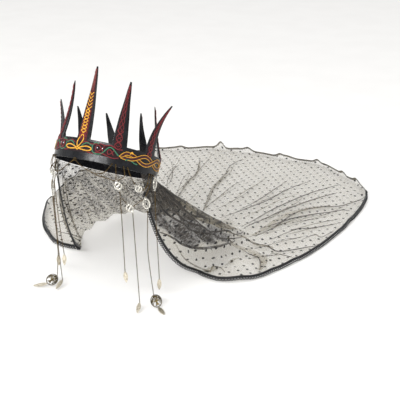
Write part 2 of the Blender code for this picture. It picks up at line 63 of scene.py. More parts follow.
# The crown's form, as in the part's source
BAND_RADIUS = 86.3 * MM
BAND_HEIGHT = 33.2 * MM
BAND_WALL = 2.5 * MM
BAND_TILT = math.radians(28.3)
BAND_COLUMNS = 90
SPIKE_HALF_COLUMNS = 2
SPIKE_HALF_ANGLE = 8.0
SPIKE_TIP_WALL = 1.2 * MM
SPIKE_LEVELS = 16
Spike = namedtuple("Spike", "place length lean_back lean_left bow")
SPIKES = (
    Spike(0, 116.0, 28.0, -1.5, 2.0),
    Spike(40, 101.0, 24.0, 0.0, 3.0),
    Spike(-40, 93.0, 29.0, 2.0, 4.0),
    Spike(80, 84.5, 27.0, 16.0, 7.5),
    Spike(-80, 68.0, 12.0, -6.0, 2.0),
    Spike(120, 90.0, 2.5, -6.5, 2.0),
    Spike(-120, 73.0, 1.0, -8.0, 2.0),
    Spike(160, 82.0, 2.0, -7.0, 3.0),
    Spike(-160, 76.0, 0.0, -14.0, 2.0),
)
Taper = namedtuple("Taper", "rise width")
SPIKE_TAPER = (
    Taper(0.0, 1.0), Taper(0.19, 0.88), Taper(0.42, 0.7), Taper(0.67, 0.43), Taper(0.875, 0.26),
    Taper(1.0, 0.12),
)
STRAP_ROUNDING = 0.45 * MM

# The veil's form, as in the part's source
LYING_HEIGHT = -216.6 * MM
VEIL_START = math.radians(72)
VEIL_END = math.radians(288)
VEIL_SEAM_RADIUS = 85.0 * MM
VEIL_SEAM_DROP = 0.9 * MM
VEIL_ROWS_IN_FRAME = 14
VEIL_HANG_SHARE = 7 / 14
VEIL_FOLDS = 14
FOLD_DEPTH_HANGING = 9.0 * MM
FOLD_DEPTH_LYING = 4.0 * MM
FOLD_DEPTH_AT_RIM = 0.6 * MM
FOLD_PEAK = 0.65
HANG_DROP_POWER = 1.15
SIDE_SPREAD_STEADY = 0.45
SIDE_SPREAD_POWER = 3.5
NUDGE = 0.004
Place = namedtuple("Place", "x y")
VEIL_FOOT = (
    Place(117, 112), Place(147, 154), Place(157, 220), Place(128, 294), Place(66, 310), Place(0, 314),
    Place(-66, 310), Place(-128, 294), Place(-157, 220), Place(-151, 150), Place(-124, 102),
)
VEIL_RIM = (
    Place(165, 103), Place(190, 111), Place(213, 129), Place(228, 157), Place(241, 194),
    Place(261, 244), Place(276, 312), Place(288, 397), Place(291, 468), Place(288, 570),
    Place(262, 635), Place(222, 674), Place(177, 708), Place(119, 746), Place(78, 740), Place(26, 741),
    Place(-64, 749), Place(-100, 732), Place(-136, 746), Place(-202, 697), Place(-268, 666),
    Place(-324, 578), Place(-344, 440), Place(-324, 305), Place(-286, 215), Place(-236, 147),
    Place(-186, 107),
)

# What only the eye sees of the veil: its fine gathers, ruffled rim, dots and trim
VEIL_COLUMNS = 460
VEIL_ROWS = 126
RIM_ROUNDING = 0.016
SIDE_BOW = 4.5 * MM
SIDE_BOW_FADES = 0.05
RIM_LIFT = 5.4 * MM
SIDE_LIFT_ENDS = 0.01
RIM_LIFT_STARTS = 0.975
# The bunched zone by the seam darkens the veil: partly gathered cloth, partly painted shade from the head
BUNCH_AND_SHADE_WEIGHT = 9.5
BUNCHED_BEHIND = 0.22
BEHIND_FROM_TO = (0.15, 0.26)
BUNCH_EDGE = (0.07, 0.01)
BUNCH_RAGGED = 0.05
BUNCH_LEAST = 0.2
SEAM_SURPLUS = 1.7
SURPLUS_DIES = 0.6
FINE_GATHERS = 74
FINE_GATHER_DEPTH = 2.6 * MM
FINE_GATHER_STARTS = 0.06
FINE_GATHER_FADES = 0.3
FINE_GATHER_DIES = 0.8
FINE_GATHER_WANDER = 1.4
FINE_GATHER_SHARES = (0.6, 0.8)
CRUMPLE_GROWS = (0.45, 0.6)
CRUMPLE_DEPTH = 1.6 * MM
RUFFLE_DEPTH = 7.0 * MM
RUFFLE_STARTS = 0.86
RUFFLE_PACE = 31.0
RIBBON_GAP = 0.3 * MM
RIBBON_STATIONS = 640
RIBBON_WALL = 0.5 * MM
RIBBON_SLOPE = 1.15
TRIM_SMOOTH = 4
TRIM_TURN = 14
PICOT_WIRE = 1.9 * MM
PICOT_SIDES = 4
PICOT_STEPS = 7
EDGING_START = 1 / VEIL_ROWS_IN_FRAME
PICOT_ROOT = 0.9
PICOT_HALF_WIDTH = 0.4
EDGING_SIDE_SHARE = 0.13
Ruffle = namedtuple("Ruffle", "along height width")
RUFFLES = (
    Ruffle(0.62, 3.5, 0.006), Ruffle(0.565, 14.0, 0.006), Ruffle(0.52, 7.5, 0.006),
    Ruffle(0.475, 4.0, 0.004), Ruffle(0.42, 7.0, 0.005), Ruffle(0.37, 6.0, 0.005),
    Ruffle(0.34, 5.0, 0.005), Ruffle(0.3, 6.0, 0.005), Ruffle(0.7, 6.0, 0.006),
    Ruffle(0.79, 5.0, 0.006),
)
Reach = namedtuple("Reach", "along down")
BUNCH_REACH = (
    Reach(0.0, 0.24), Reach(0.03, 0.28), Reach(0.07, 0.34), Reach(0.14, 0.39), Reach(0.23, 0.45),
    Reach(0.3, 0.52), Reach(0.42, 0.55), Reach(0.5, 0.5),
)
# Folds where the cloth doubles: mm wide, how crowded, and the way in the veil's own shares
Pleat = namedtuple("Pleat", "width crowd way")
PLEATS = (
    Pleat(5.6, 2.9, ((0.58, 0.62), (0.58, 0.733), (0.575, 0.783), (0.585, 0.9))),
    Pleat(7.4, 2.7, ((0.49, 0.56), (0.515, 0.675), (0.52, 0.767), (0.52, 0.833))),
    Pleat(2.6, 3.6, ((0.52, 0.8), (0.525, 0.87), (0.515, 0.93))),
    Pleat(2.4, 4.0, ((0.41, 0.6), (0.41, 0.667), (0.415, 0.742), (0.42, 0.842))),
    Pleat(2.6, 4.4, ((0.43, 0.542), (0.405, 0.592), (0.395, 0.675), (0.395, 0.8), (0.39, 0.883))),
    Pleat(2.8, 4.2, ((0.345, 0.53), (0.36, 0.65), (0.362, 0.75), (0.36, 0.84), (0.35, 0.95))),
    Pleat(4.2, 3.8, ((0.325, 0.517), (0.34, 0.65), (0.34, 0.75), (0.335, 0.83), (0.33, 0.9))),
    Pleat(12.0, 1.4, ((0.28, 0.52), (0.315, 0.65), (0.315, 0.74), (0.305, 0.8), (0.3, 0.84))),
    Pleat(4.4, 3.8, ((0.25, 0.533), (0.31, 0.683), (0.305, 0.8), (0.285, 0.9), (0.28, 1.0))),
    Pleat(3.2, 4.2, ((0.3, 0.558), (0.295, 0.717), (0.275, 0.85), (0.255, 0.95))),
    Pleat(2.6, 3.8, ((0.22, 0.6), (0.235, 0.72), (0.225, 0.8), (0.215, 0.96))),
    Pleat(9.0, 2.2, ((0.27, 0.46), (0.22, 0.54), (0.185, 0.592), (0.16, 0.68))),
    Pleat(3.4, 5.0, ((0.27, 0.46), (0.2, 0.57), (0.15, 0.7), (0.135, 0.825), (0.14, 0.99))),
    Pleat(2.2, 3.8, ((0.135, 0.7), (0.115, 0.83), (0.1, 0.958))),
    Pleat(2.2, 3.8, ((0.17, 0.8), (0.185, 0.86), (0.17, 0.93), (0.185, 0.97))),
    Pleat(16.0, 1.6, ((0.23, 0.4), (0.18, 0.508), (0.12, 0.68), (0.055, 0.892))),
    Pleat(2.6, 5.0, ((0.19, 0.47), (0.15, 0.56), (0.09, 0.75), (0.055, 0.9))),
    Pleat(5.0, 5.5, ((0.0, 0.25), (0.03, 0.27), (0.07, 0.34), (0.14, 0.385), (0.23, 0.44))),
    Pleat(4.0, 7.5, ((0.02, 0.03), (0.05, 0.12), (0.12, 0.24), (0.2, 0.36), (0.25, 0.46))),
    Pleat(4.0, 7.5, ((0.08, 0.02), (0.1, 0.12), (0.16, 0.24), (0.25, 0.38), (0.31, 0.5))),
    Pleat(4.0, 6.5, ((0.16, 0.02), (0.19, 0.14), (0.27, 0.3), (0.35, 0.42), (0.42, 0.53))),
    Pleat(3.0, 2.8, ((0.03, 0.3), (0.02, 0.42), (0.04, 0.56), (0.03, 0.7))),
    Pleat(5.0, 3.0, ((0.985, 0.05), (0.97, 0.2), (0.975, 0.4), (0.96, 0.62))),
    Pleat(4.0, 3.0, ((0.93, 0.03), (0.94, 0.2), (0.925, 0.36), (0.94, 0.55), (0.96, 0.8))),
)
PLEAT_STEPS = 34
PLEAT_RISE = 1.6 * MM
WRINKLES = 44
WRINKLE_WAY = (0.0, 0.33, 0.66, 1.0)
WRINKLE_ALONG = (0.1, 0.92)
WRINKLE_STARTS = (0.5, 0.72)
WRINKLE_LENGTHS = (0.1, 0.26)
WRINKLE_DRIFT = 0.02
WRINKLE_WANDER = 0.004
WRINKLE_WIDTHS = (1.4, 2.2)
WRINKLE_CROWDS = (2.2, 3.6)
PLEAT_TAPERS = (0.04, 0.96)
PLEAT_CLEAR = 0.3 * MM
PLEAT_FULL_RISE = 3.0 * MM

# Chains, charms and pendants, as in the part's source
CHAIN_RADIUS = 0.9 * MM
GAP = 0.3 * MM
BAND_STAND_OFF = CHAIN_RADIUS + 1.2 * GAP
LOOP_RADIUS = 2.0 * MM
LOOP_REACH = LOOP_RADIUS + 1.4 * GAP
CHAIN_SAMPLES = 400
CHAIN_SEAT_HEIGHT = 2.0 * MM
BRANCH_DROP = 2 * CHAIN_RADIUS + 1.5 * GAP
FORK_REACH = 5.5 * MM
FORK_DROP = Vector((0.3, 0.2, -9.0)) * MM
HOOK_CENTER = Vector((-6.5, -77.0, 40.0)) * MM
HOOK_RADIUS = 2.2 * MM
HOOK_WIRE = 0.6 * MM
HOOK_REACH = HOOK_RADIUS + HOOK_WIRE + 2 * GAP
ROUTES = {
    "left": {
        "upper_swag": (
            (8.0, -83.5, 33.5), (24.0, -81.5, 25.5), (32.0, -79.5, 22.5), (40.0, -77.0, 23.5),
            (47.5, -73.5, 27.5),
        ),
        "lower_swag": ((43.5, -76.0, 17.5), (53.5, -72.5, 14.5)),
        "side_swag": ((70.5, -57.5, 17.0),),
        "band_link_2": ((78.0, -50.0, 15.0),),
        "band_link_3": ((94.5, -29.0, -4.5),),
        "band_link_4": ((93.5, -17.0, -8.0),),
        "drop_1": ((68.5, -65.5, -60.0),),
        "drop_3": ((83.0, -50.5, -110.0),),
        "drop_4": ((95.5, -33.0, -109.0), (98.0, -31.0, -153.0)),
        "drop_5": ((97.2, -7.8, -35.0), (100.3, -12.5, -62.0), (102.0, -12.3, -110.0)),
    },
    "right": {
        "upper_swag": (
            (-15.5, -82.0, 32.5), (-28.5, -80.0, 21.5), (-38.0, -77.0, 15.0), (-48.0, -71.5, 11.5),
        ),
        "side_swag": ((-66.5, -53.5, 17.0),),
        "band_link_2": ((-74.0, -47.0, 14.0),),
        "band_link_3": ((-90.5, -26.0, -4.5),),
        "band_link_4": ((-90.5, -15.0, -8.0),),
        "drop_1": ((-59.5, -56.0, -80.0),),
        "drop_3": ((-75.5, -42.0, -120.0),),
        "drop_4": ((-88.0, -24.0, -100.0), (-87.0, -25.0, -153.0)),
        "drop_5": ((-97.2, -7.8, -35.0), (-98.5, -10.5, -62.0), (-99.0, -10.0, -110.0)),
    },
}
BAND_SEATS = {
    "upper_swag": 36,
    "band_link_1": 40,
    "side_swag": 48.5,
    "band_link_2": 53,
    "band_link_3": 84,
    "band_link_4": 88.5,
    "band_link_5": 93,
}
DROP_ENDS = {
    "left": {
        1: (70.0, -64.0, -146.0),
        3: (87.2, -49.3, -205.6),
        4: (101.7, -27.6, -198.2),
        5: (104.0, -11.0, -176.2),
    },
    "right": {
        1: (-57.2, -50.0, -148.0),
        3: (-72.7, -37.9, -205.2),
        4: (-86.6, -32.9, -202.5),
        5: (-99.0, -9.0, -176.2),
    },
}
BAIL_LENGTH = 3.6 * MM
BAIL_WIDTH = 3.2 * MM
BAIL_WIRE = 0.7 * MM
BEAD_RADIUS = 1.5 * MM
LINK_TURN_PLAY = 0.25
CHARM_WALL = 1.6 * MM
CHARM_RIM = 2.3 * MM
CHARM_BAR = 2.6 * MM
CHARM_BAR_WAY = ((-0.72, -0.62), (-0.38, -0.1), (0.0, 0.0), (0.38, 0.1), (0.72, 0.62))
CHARM_WIRE = 1.0 * MM
CHARM_LOOP_WIRE = 0.95 * MM
EYE_WIRE = 0.8 * MM
EYE_LEAN = math.radians(38)
EYE_SHIFT = (-0.2, 0.34)
EYE_SIZE = (0.56, 0.27)
INNER_RINGS = (0.62, 0.34)
TALL_POST = (0.3, 0.5, 0.7, 0.86)
WIDE_POST = (0.3, 0.55, 0.8)
TUCK_BACK = 0.8
Charm = namedtuple("Charm", "number x y z width height facing roll tuck")
CHARMS = (
    Charm(1, 65.1, -68.3, 3.6, 13.0, 14.0, 36, 19, 7),
    Charm(2, 87.5, -43.6, -6.0, 11.5, 13.0, 42, 39, 7),
    Charm(3, 78.1, -56.2, -36.2, 12.4, 15.5, 35, 30, 7),
    Charm(4, 94.5, -32.0, -34.4, 13.0, 19.0, 32, 10, 6),
    Charm(5, 94.5, -3.0, -10.5, 12.5, 20.0, 86, 0, 0),
)
MEDALLION_RADIUS = 10.0 * MM
MEDALLION_WALL = 1.8 * MM
MEDALLION_RIM = 1.0 * MM
MEDALLION_BEAD = 0.45 * MM
MEDALLION_DRAWN_OUT = (0.96, 1.1, 1.0, 1.0)
TREE_FOOT = Vector((0.0, -4.6)) * MM
TREE_CROTCH = Vector((0.0, -0.6)) * MM
TRUNK_WIRE = 1.7 * MM
TRUNK_FOOT_SPREAD = 2.6
TRUNK_WAIST_SPREAD = 0.7
TRUNK_TOP_SPREAD = 1.2
ROOT_WIRE = 0.7 * MM
ROOT_TURNS = (-26, 26)
BOUGH_TURNS = (-84, -56, -28, 0, 28, 56, 84)
BOUGH_LENGTH = 3.0 * MM
BOUGH_WIRE = 1.4 * MM
BOUGH_BEND = 0.12
FORK_TURN = (0.34, 0.62)
FORK_SHORTENS = (0.7, 0.86)
FORK_THINS = 0.76
CANOPY_GROWS = 0.84
CANOPY_REACH = 0.86
CANOPY_LEAF = 0.7 * MM
Pendant = namedtuple("Pendant", "name top bottom")
MEDALLIONS = (
    Pendant("medallion_left", (102.6, -28.0, -199.2), (114.0, -34.4, -214.4)),
    Pendant("medallion_right", (-87.2, -33.9, -203.3), (-95.6, -50.5, -210.8)),
)
TOWARD_FRONT_LEFT = Vector((0.41, -0.83, 0.38))
LEAF_WIDTH = 7.2 * MM
LEAF_TIPPED = 0.3
LEAF_WALL = 1.3 * MM
LEAF_RIDGE = 1.0 * MM
LEAF_ROWS = 24
LEAF_COLUMNS = 8
LEAF_POINTED = (0.05, 0.97)
LEAF_FULLNESS = 0.75
LEAF_BELLY = 0.85
LEAF_VEINS = 7
LEAF_VEIN_SLANT = 0.9
LEAF_VEIN_RISE = 0.22 * MM
LEAF_RING_WIRE = 0.55 * MM
Leaf = namedtuple("Leaf", "name top tip lies")
LEAVES = (
    Leaf("leaf_1_left", (70.0, -64.0, -146.8), (71.5, -63.0, -166.0), False),
    Leaf("leaf_3_left", (87.4, -50.2, -206.6), (92.9, -67.7, -214.0), False),
    Leaf("leaf_4_left", (114.8, -34.9, -215.5), (133.0, -49.5, -216.4), True),
    Leaf("leaf_5_left", (104.0, -11.0, -177.0), (103.4, -11.3, -196.0), False),
    Leaf("leaf_1_right", (-57.2, -50.0, -148.8), (-57.7, -50.4, -168.0), False),
    Leaf("leaf_3_right", (-72.8, -38.6, -206.0), (-74.0, -56.5, -214.0), False),
    Leaf("leaf_4_right", (-96.2, -51.6, -211.3), (-119.0, -60.2, -216.2), True),
    Leaf("leaf_5_right", (-99.0, -9.0, -177.0), (-98.6, -9.3, -196.0), False),
)

# The embroidery: each row's points are degrees from the pattern's middle and mm up the band
PATTERN_MIDDLE = -4.2
STRAND_STEPS = 7
STRAND_SIDES = 6
Motif = namedtuple("Motif", "thread closed points")
RING = Motif("gold", True, ((1.6, 16.6), (0.0, 18.4), (-1.6, 16.6), (0.0, 14.8)))
BAND_MOTIFS = (
    Motif(
        "gold", True,
        (
            (1.6, 17.0), (5.0, 19.6), (10.0, 21.6), (14.2, 20.6), (15.9, 18.6), (14.4, 16.2),
            (10.5, 15.0), (5.0, 15.6),
        ),
    ),
    Motif("green", False, ((4.5, 20.5), (6.5, 24.5), (9.5, 26.8), (12.5, 26.6), (15.5, 24.2))),
    Motif(
        "green", False,
        (
            (23.0, 29.0), (20.2, 30.0), (17.6, 28.0), (16.6, 23.5), (16.9, 18.0), (18.6, 14.2),
            (22.0, 12.8), (25.5, 13.4), (28.5, 16.8), (31.0, 22.0), (33.6, 26.2), (36.2, 27.0),
            (39.0, 24.6), (42.0, 20.6), (45.0, 17.0),
        ),
    ),
    Motif(
        "red", False,
        (
            (4.0, 25.0), (8.5, 28.8), (14.0, 26.6), (19.0, 27.4), (24.0, 29.6), (29.5, 28.2),
            (34.5, 30.2), (38.5, 28.8), (43.2, 26.6), (48.0, 27.4),
        ),
    ),
    Motif(
        "red", False,
        (
            (12.0, 13.2), (17.8, 12.4), (23.0, 15.4), (29.5, 14.6), (35.2, 12.2), (40.2, 11.4),
            (45.4, 13.6),
        ),
    ),
    Motif("green", False, ((53.0, 13.0), (56.5, 14.6), (60.0, 13.8), (63.5, 11.6), (67.5, 11.0))),
    Motif("gold", False, ((57.0, 24.0), (58.6, 27.6), (60.2, 25.4))),
)
POINTS_A_WAVE = 2.5
RED_BOLD = 0.9
PLAIN_BOLD = 1.15
Knot = namedtuple("Knot", "thread angle height width tall")
BAND_KNOTS = (Knot("red", 24.6, 21.8, 13.0, 9.6), Knot("red", 36.2, 19.6, 9.6, 7.6))
KNOT_STEPS = 84
KNOT_LEAN = 0.5
KNOT_BOLD = 0.82
Stud = namedtuple("Stud", "angle height size")
BAND_STUDS = (Stud(22.0, 22.4, 2.8), Stud(27.4, 22.8, 2.3))
ROPE_START = 41.5
ROPE_END = 310.1
ROPE_TURNS = 5.5
ROPE_MIDDLE = 20.0
ROPE_SWING = 6.6
ROPE_END_SWING = 3.9
ROPE_SHIFT = 0.6
ROPE_FADE = 8.0
ROPE_SWELLS = (8, 24)
ROPE_END_DROP = 3.2
ROPE_FILL = 4.4 * MM
ROPE_EDGE = 2.5 * MM
ROPE_EDGE_BOLD = 0.66
ROPE_EDGE_OPENS = 5
ROPE_EDGE_APART = 1.2
ROPE_EDGE_LIFT = 0.2 * MM
ROPE_STEP = 1.5
Ornament = namedtuple("Ornament", "spike kind middle reach")
ORNAMENTS = (
    Ornament(0, "ladder", -0.16, 0.66),
    Ornament(1, "plait", -0.24, 0.54),
    Ornament(2, "plait", -0.16, 0.62),
    Ornament(3, "plait", -0.3, 0.5),
    *(Ornament(number, "plait", 0.0, 0.66) for number in range(4, 9)),
)
THREADS = ("gold", "red", "green", "maroon", "satin", "shade", "tip", "stud")
FRONT = SPIKES[0]
STRAND_SEAT = 0.3
WEAVE_LIFT = 0.5 * MM
ROPE_LIFT = 0.8 * MM
MM_A_DEGREE = 1.5
FIELD_RISE = 0.5 * MM
FIELD_CLEAR = 0.08 * MM
FIELD_SKIRT = 0.3 * MM
FIELD_START = 30.0
FIELD_TOP = 0.97
GROUND_REACH = 46.0
GROUND_LOW = 11.4
GROUND_HIGH = 29.8
# Twists run between two heights, each in mm from the spike's foot and a share of its length more
Twist = namedtuple(
    "Twist", "thread low_mm low_share high_mm high_share turns reach strands width height ground"
)
LADDER_TWISTS = (
    Twist("red", -8, 0.08, 0, 0.39, 4.0, 0.55, 2, 0.8, 1.0, FIELD_RISE),
    Twist("gold", 0, 0.08, 0, 0.39, 3.5, 0.38, 2, 0.95, 1.2, 0.8 * MM),
    Twist("tip", 0, 0.66, 0, 0.96, 1.6, 0.34, 3, 1.2, 1.0, FIELD_RISE),
)
PLAIT_TWISTS = (
    Twist("red", -7, 0.0, 3, 0.2, 1.25, 1.0, 2, 0.58, 1.0, 0.35 * MM),
    Twist("red", -3, 0.0, 1, 0.2, 1.75, 0.7, 2, 0.58, 1.0, 0.45 * MM),
    Twist("red", 0, 0.2, 0, 0.94, 2.5, 0.8, 3, 0.58, 1.0, FIELD_RISE),
)
PLAIT_SPREAD = 0.85
TWIST_STEPS = 14
LADDER_LEAVES = (
    ((-4.4, 18.8), (-5.8, 23.5), (-5.6, 29.0), (-3.4, 36.0), (0.2, 43.48)),
    ((-4.4, 18.8), (-1.8, 23.5), (0.3, 29.5), (0.4, 35.0), (-2.4, 43.48)),
)
LEAF_BOLD = 1.1
LEAF_GROUND = 0.3 * MM
CHEVRONS = 5
CHEVRON_START = 0.395
CHEVRON_PITCH = 0.049
CHEVRON_RISE = 5.2
CHEVRON_INSET = 0.08
CHEVRON_LIFT = 0.3 * MM
CHEVRON_BOLD = 0.8

# The view: the band's lower middle is seen at this place of a 400 by 400 picture
PICTURE = 400
SENSOR_WIDTH = 36.0
ORIGIN_SEEN_AT = (105.25, 168.2)
PIXEL_AT_ORIGIN = 1.65 * MM
VIEW_DISTANCE = 1.5
VIEW_AZIMUTH = math.radians(26.0)
VIEW_ELEVATION = math.radians(22.3)
FLOOR_HEIGHT = -219.4 * MM
FLOOR_SIZE = 12.0
WORLD_LIGHT = 0.85
Light = namedtuple("Light", "name place size power")
LIGHTS = (
    Light("front_softbox", (0.3, -2.1, 1.3), (2.3, 0.45), 34.0),
    Light("bright_strip", (0.25, -2.0, 1.24), (1.1, 0.4), 17.0),
    Light("side_softbox", (-2.4, -0.6, 1.6), (1.4, 1.4), 5.0),
    Light("top_softbox", (0.4, 0.8, 2.6), (2.6, 2.6), 10.0),
)


def linear(code):
    """A colour's sRGB hex code as the linear values that a shader takes."""
    shares = [int(code[i : i + 2], 16) / 255 for i in (1, 3, 5)]
    return tuple(s / 12.92 if s <= 0.04045 else ((s + 0.055) / 1.055) ** 2.4 for s in shares)


def length_setting(name, description, default):
    """A length that a maker would change, in metres."""
    return bpy.props.FloatProperty(
        name=name, description=description, default=default, min=0.05 * MM, unit="LENGTH", precision=5
    )


def color_setting(name, description, code):
    """A colour that a maker would change, from its sRGB hex code."""
    return bpy.props.FloatVectorProperty(
        name=name, description=description, default=linear(code), min=0.0, max=1.0, subtype="COLOR"
    )


class HeaddressSizes(bpy.types.PropertyGroup):
    """The fine sizes that a maker would change."""

    strand_width: length_setting("Strand", "Width of an embroidered strand", 1.5 * MM)
    strand_height: length_setting("Strand rise", "How far a strand stands proud", 0.8 * MM)
    link_length: length_setting("Link", "Outer length of a chain link", 3.0 * MM)
    link_width: length_setting("Link width", "Outer width of a chain link", 2.0 * MM)
    link_wire: length_setting("Link wire", "Wire that a chain link is bent from", 0.55 * MM)
    dot_size: length_setting("Dot", "Width of a flocked dot on the tulle", 4.9 * MM)
    dot_across: length_setting("Dots across", "Spacing of the dots across the cloth", 24.0 * MM)
    dot_along: length_setting("Dots along", "Spacing of the dots down the cloth", 26.0 * MM)
    net_mesh: length_setting("Net mesh", "Width of a mesh of the net, drawn coarse", 2.3 * MM)
    ribbon_width: length_setting("Ribbon", "Width of the veil's satin trim", 4.4 * MM)
    picot_reach: length_setting("Picot", "How far a picot loop stands out", 3.6 * MM)
    picot_pitch: length_setting("Picot pitch", "Spacing of the picot loops", 5.2 * MM)


class HeaddressColors(bpy.types.PropertyGroup):
    """The colours that a maker would change."""

    strap: color_setting("Strap", "Black of the stiffened strap", "#0c0c0f")
    gold: color_setting("Gold thread", "Golden yellow of the rope work", "#ffbf3a")
    red: color_setting("Red thread", "Red of the knots and plaits", "#8a262b")
    green: color_setting("Green thread", "Green of the waves", "#3f8262")
    maroon: color_setting("Maroon thread", "Dark filling of the spikes and rope", "#42060f")
    silver: color_setting("Cast silver", "Bright metal of the charms", "#e6e3da")
    bronze: color_setting("Antique bronze", "Old brown metal of the chains", "#80652f")
    tulle: color_setting("Tulle", "Brown-black of the net's yarn", "#2a241d")
    ribbon: color_setting("Satin ribbon", "Black of the veil's trim", "#121214")


def blend(first, last, share):
    """The value at this share of the way from the first to the last."""
    return first + (last - first) * share


def ease(start, end, value):
    """Rise smoothly from 0 to 1 as the value goes from start to end."""
    share = min(max((value - start) / (end - start), 0.0), 1.0)
    return share * share * (3 - 2 * share)


def smooth_place(points, share):
    """The place at this share, by chord length, of the smooth curve through the points."""
    chords = [(b - a).length for a, b in zip(points, points[1:])]
    left = min(max(share, 0.0), 1.0) * sum(chords)
    span = 0
    while span < len(chords) - 1 and left > chords[span]:
        left -= chords[span]
        span += 1
    t = min(left / chords[span], 1.0)
    a, b = points[span], points[span + 1]
    before = points[span - 1] if span > 0 else a - (b - a)
    after = points[span + 2] if span + 2 < len(points) else b + (b - a)
    start_pull = (b - before) * 0.5
    end_pull = (after - a) * 0.5
    return (
        a * (2 * t**3 - 3 * t**2 + 1)
        + start_pull * (t**3 - 2 * t**2 + t)
        + b * (3 * t**2 - 2 * t**3)
        + end_pull * (t**3 - t**2)
    )


def band_point(angle, height=0.0, radius=BAND_RADIUS):
    """The place at this angle from the front and height above the tilted band's lower rim."""
    level = Vector((math.sin(angle) * radius, -math.cos(angle) * radius, height))
    return Matrix.Rotation(-BAND_TILT, 3, "X") @ level


def taper_width(rise):
    """The share of its foot's width that a spike keeps at this share of its length."""
    for low, high in zip(SPIKE_TAPER, SPIKE_TAPER[1:]):
        if rise <= high.rise:
            return blend(low.width, high.width, (rise - low.rise) / (high.rise - low.rise))
    return SPIKE_TAPER[-1].width


def spike_point(spike, angle, inside, rise):
    """The place on one face of a spike, above this angle of the band, at a share of its length."""
    middle = math.radians(spike.place)
    foot = band_point(middle, BAND_HEIGHT)
    edge = band_point(angle, BAND_HEIGHT)
    lean_left = math.tan(math.radians(spike.lean_left))
    lean_back = math.tan(math.radians(spike.lean_back))
    axis = Vector((lean_left, lean_back, 1.0)).normalized() * spike.length * MM
    inward = Vector((-math.sin(middle), math.cos(middle), 0.0)) * spike.bow * MM
    place = foot + axis * rise + inward * (4 * rise * (1 - rise))
    place += (edge - foot) * taper_width(rise)
    if inside:
        wall = blend(BAND_WALL, SPIKE_TIP_WALL, rise)
        place -= (band_point(middle) / BAND_RADIUS) * wall
    return place


def add_node(tree, kind, inputs=(), **settings):
    """Add a shader node with its settings, and link or set its inputs.

    The inputs come in order, or by name or number. A node given as an input stands for its
    first output, and a colour has three values.
    """
    node = tree.nodes.new(f"ShaderNode{kind}")
    for name, value in settings.items():
        setattr(node, name, value)
    for name, value in inputs.items() if isinstance(inputs, dict) else enumerate(inputs):
        socket = node.inputs[name]
        if isinstance(value, bpy.types.Node):
            tree.links.new(value.outputs[0], socket)
        elif isinstance(value, bpy.types.NodeSocket):
            tree.links.new(value, socket)
        else:
            socket.default_value = (*value, 1.0) if socket.type == "RGBA" else value
    return node


def start_material(name, **sockets):
    """A new material's node tree and its main shader, with these constant sockets set."""
    material = bpy.data.materials.new(name)
    material.use_nodes = True
    tree = material.node_tree
    shader = tree.nodes["Principled BSDF"]
    for socket, value in sockets.items():
        shader.inputs[socket.replace("_", " ")].default_value = value
    return material, tree, shader


def patch_noise(tree, place, size, detail=2.0, low=0.35, high=0.65):
    """Soft patches of about this size in metres, from 0 to 1, at the place socket."""
    cloud = add_node(tree, "TexNoise", {"Vector": place, "Scale": 1 / size, "Detail": detail})
    return add_node(tree, "MapRange", {"Value": cloud, 1: low, 2: high})


def dress_shader(tree, shader, base, share, roughness, height, rise, strength=1.0):
    """Link a finish's colour, its roughness between two values, and its relief in metres."""
    rough = add_node(tree, "MapRange", {"Value": share, 3: roughness[0], 4: roughness[1]})
    relief = add_node(tree, "Bump", {"Height": height, "Distance": rise, "Strength": strength})
    tree.links.new(base, shader.inputs["Base Color"])
    tree.links.new(rough.outputs[0], shader.inputs["Roughness"])
    tree.links.new(relief.outputs[0], shader.inputs["Normal"])


def make_strap_leather(color):
    """Glazed cowhide strap, stiffened and dyed black: a fine grain under a wet-looking glaze."""
    material, tree, shader = start_material("glazed_strap_leather", IOR=1.4, Specular_IOR_Level=0.36)
    place = add_node(tree, "TexCoord").outputs["Object"]
    scuffs = patch_noise(tree, place, 14 * MM, 4.0, 0.4, 0.75)
    base = add_node(tree, "Mix", {0: scuffs, 6: color, 7: linear("#1b1c20")}, data_type="RGBA")
    # Pores about 0.7 mm apart, as full-grain hide has
    grain = add_node(tree, "TexVoronoi", {"Vector": place, "Scale": 1 / (0.7 * MM)})
    glaze = patch_noise(tree, place, 5 * MM, 3.0)
    dress_shader(tree, shader, base.outputs[2], glaze, (0.17, 0.3), grain, 0.04 * MM, 0.35)
    return material


def make_thread(name, color, shade):
    """Twisted rayon embroidery cord: round plies with a silky shine, and painted shade in the grooves
    between them.
    """
    material, tree, shader = start_material(
        name, Sheen_Weight=0.08, Sheen_Roughness=0.4, Specular_IOR_Level=0.35
    )
    run = add_node(tree, "SeparateXYZ", (add_node(tree, "UVMap"),))
    # One ply turn each 1.6 mm of cord
    turns = add_node(tree, "Math", (run, 1 / (1.6 * MM)), operation="MULTIPLY")
    lay = add_node(tree, "Math", (turns, run.outputs[1]), operation="ADD")
    ply = add_node(tree, "Math", (lay, 0.5), operation="PINGPONG")
    groove = add_node(tree, "MapRange", {"Value": ply, 1: 0.0, 2: 0.28})
    place = add_node(tree, "TexCoord").outputs["Object"]
    wear = patch_noise(tree, place, 6 * MM)
    worn = add_node(tree, "Mix", {0: wear, 6: color, 7: [c * 0.72 for c in color]}, data_type="RGBA")
    # The grooves between the plies take the shade colour: painted shade
    base = add_node(tree, "Mix", {0: groove, 6: shade, 7: worn.outputs[2]}, data_type="RGBA")
    dress_shader(tree, shader, base.outputs[2], groove, (0.62, 0.42), groove, 0.25 * MM)
    return material


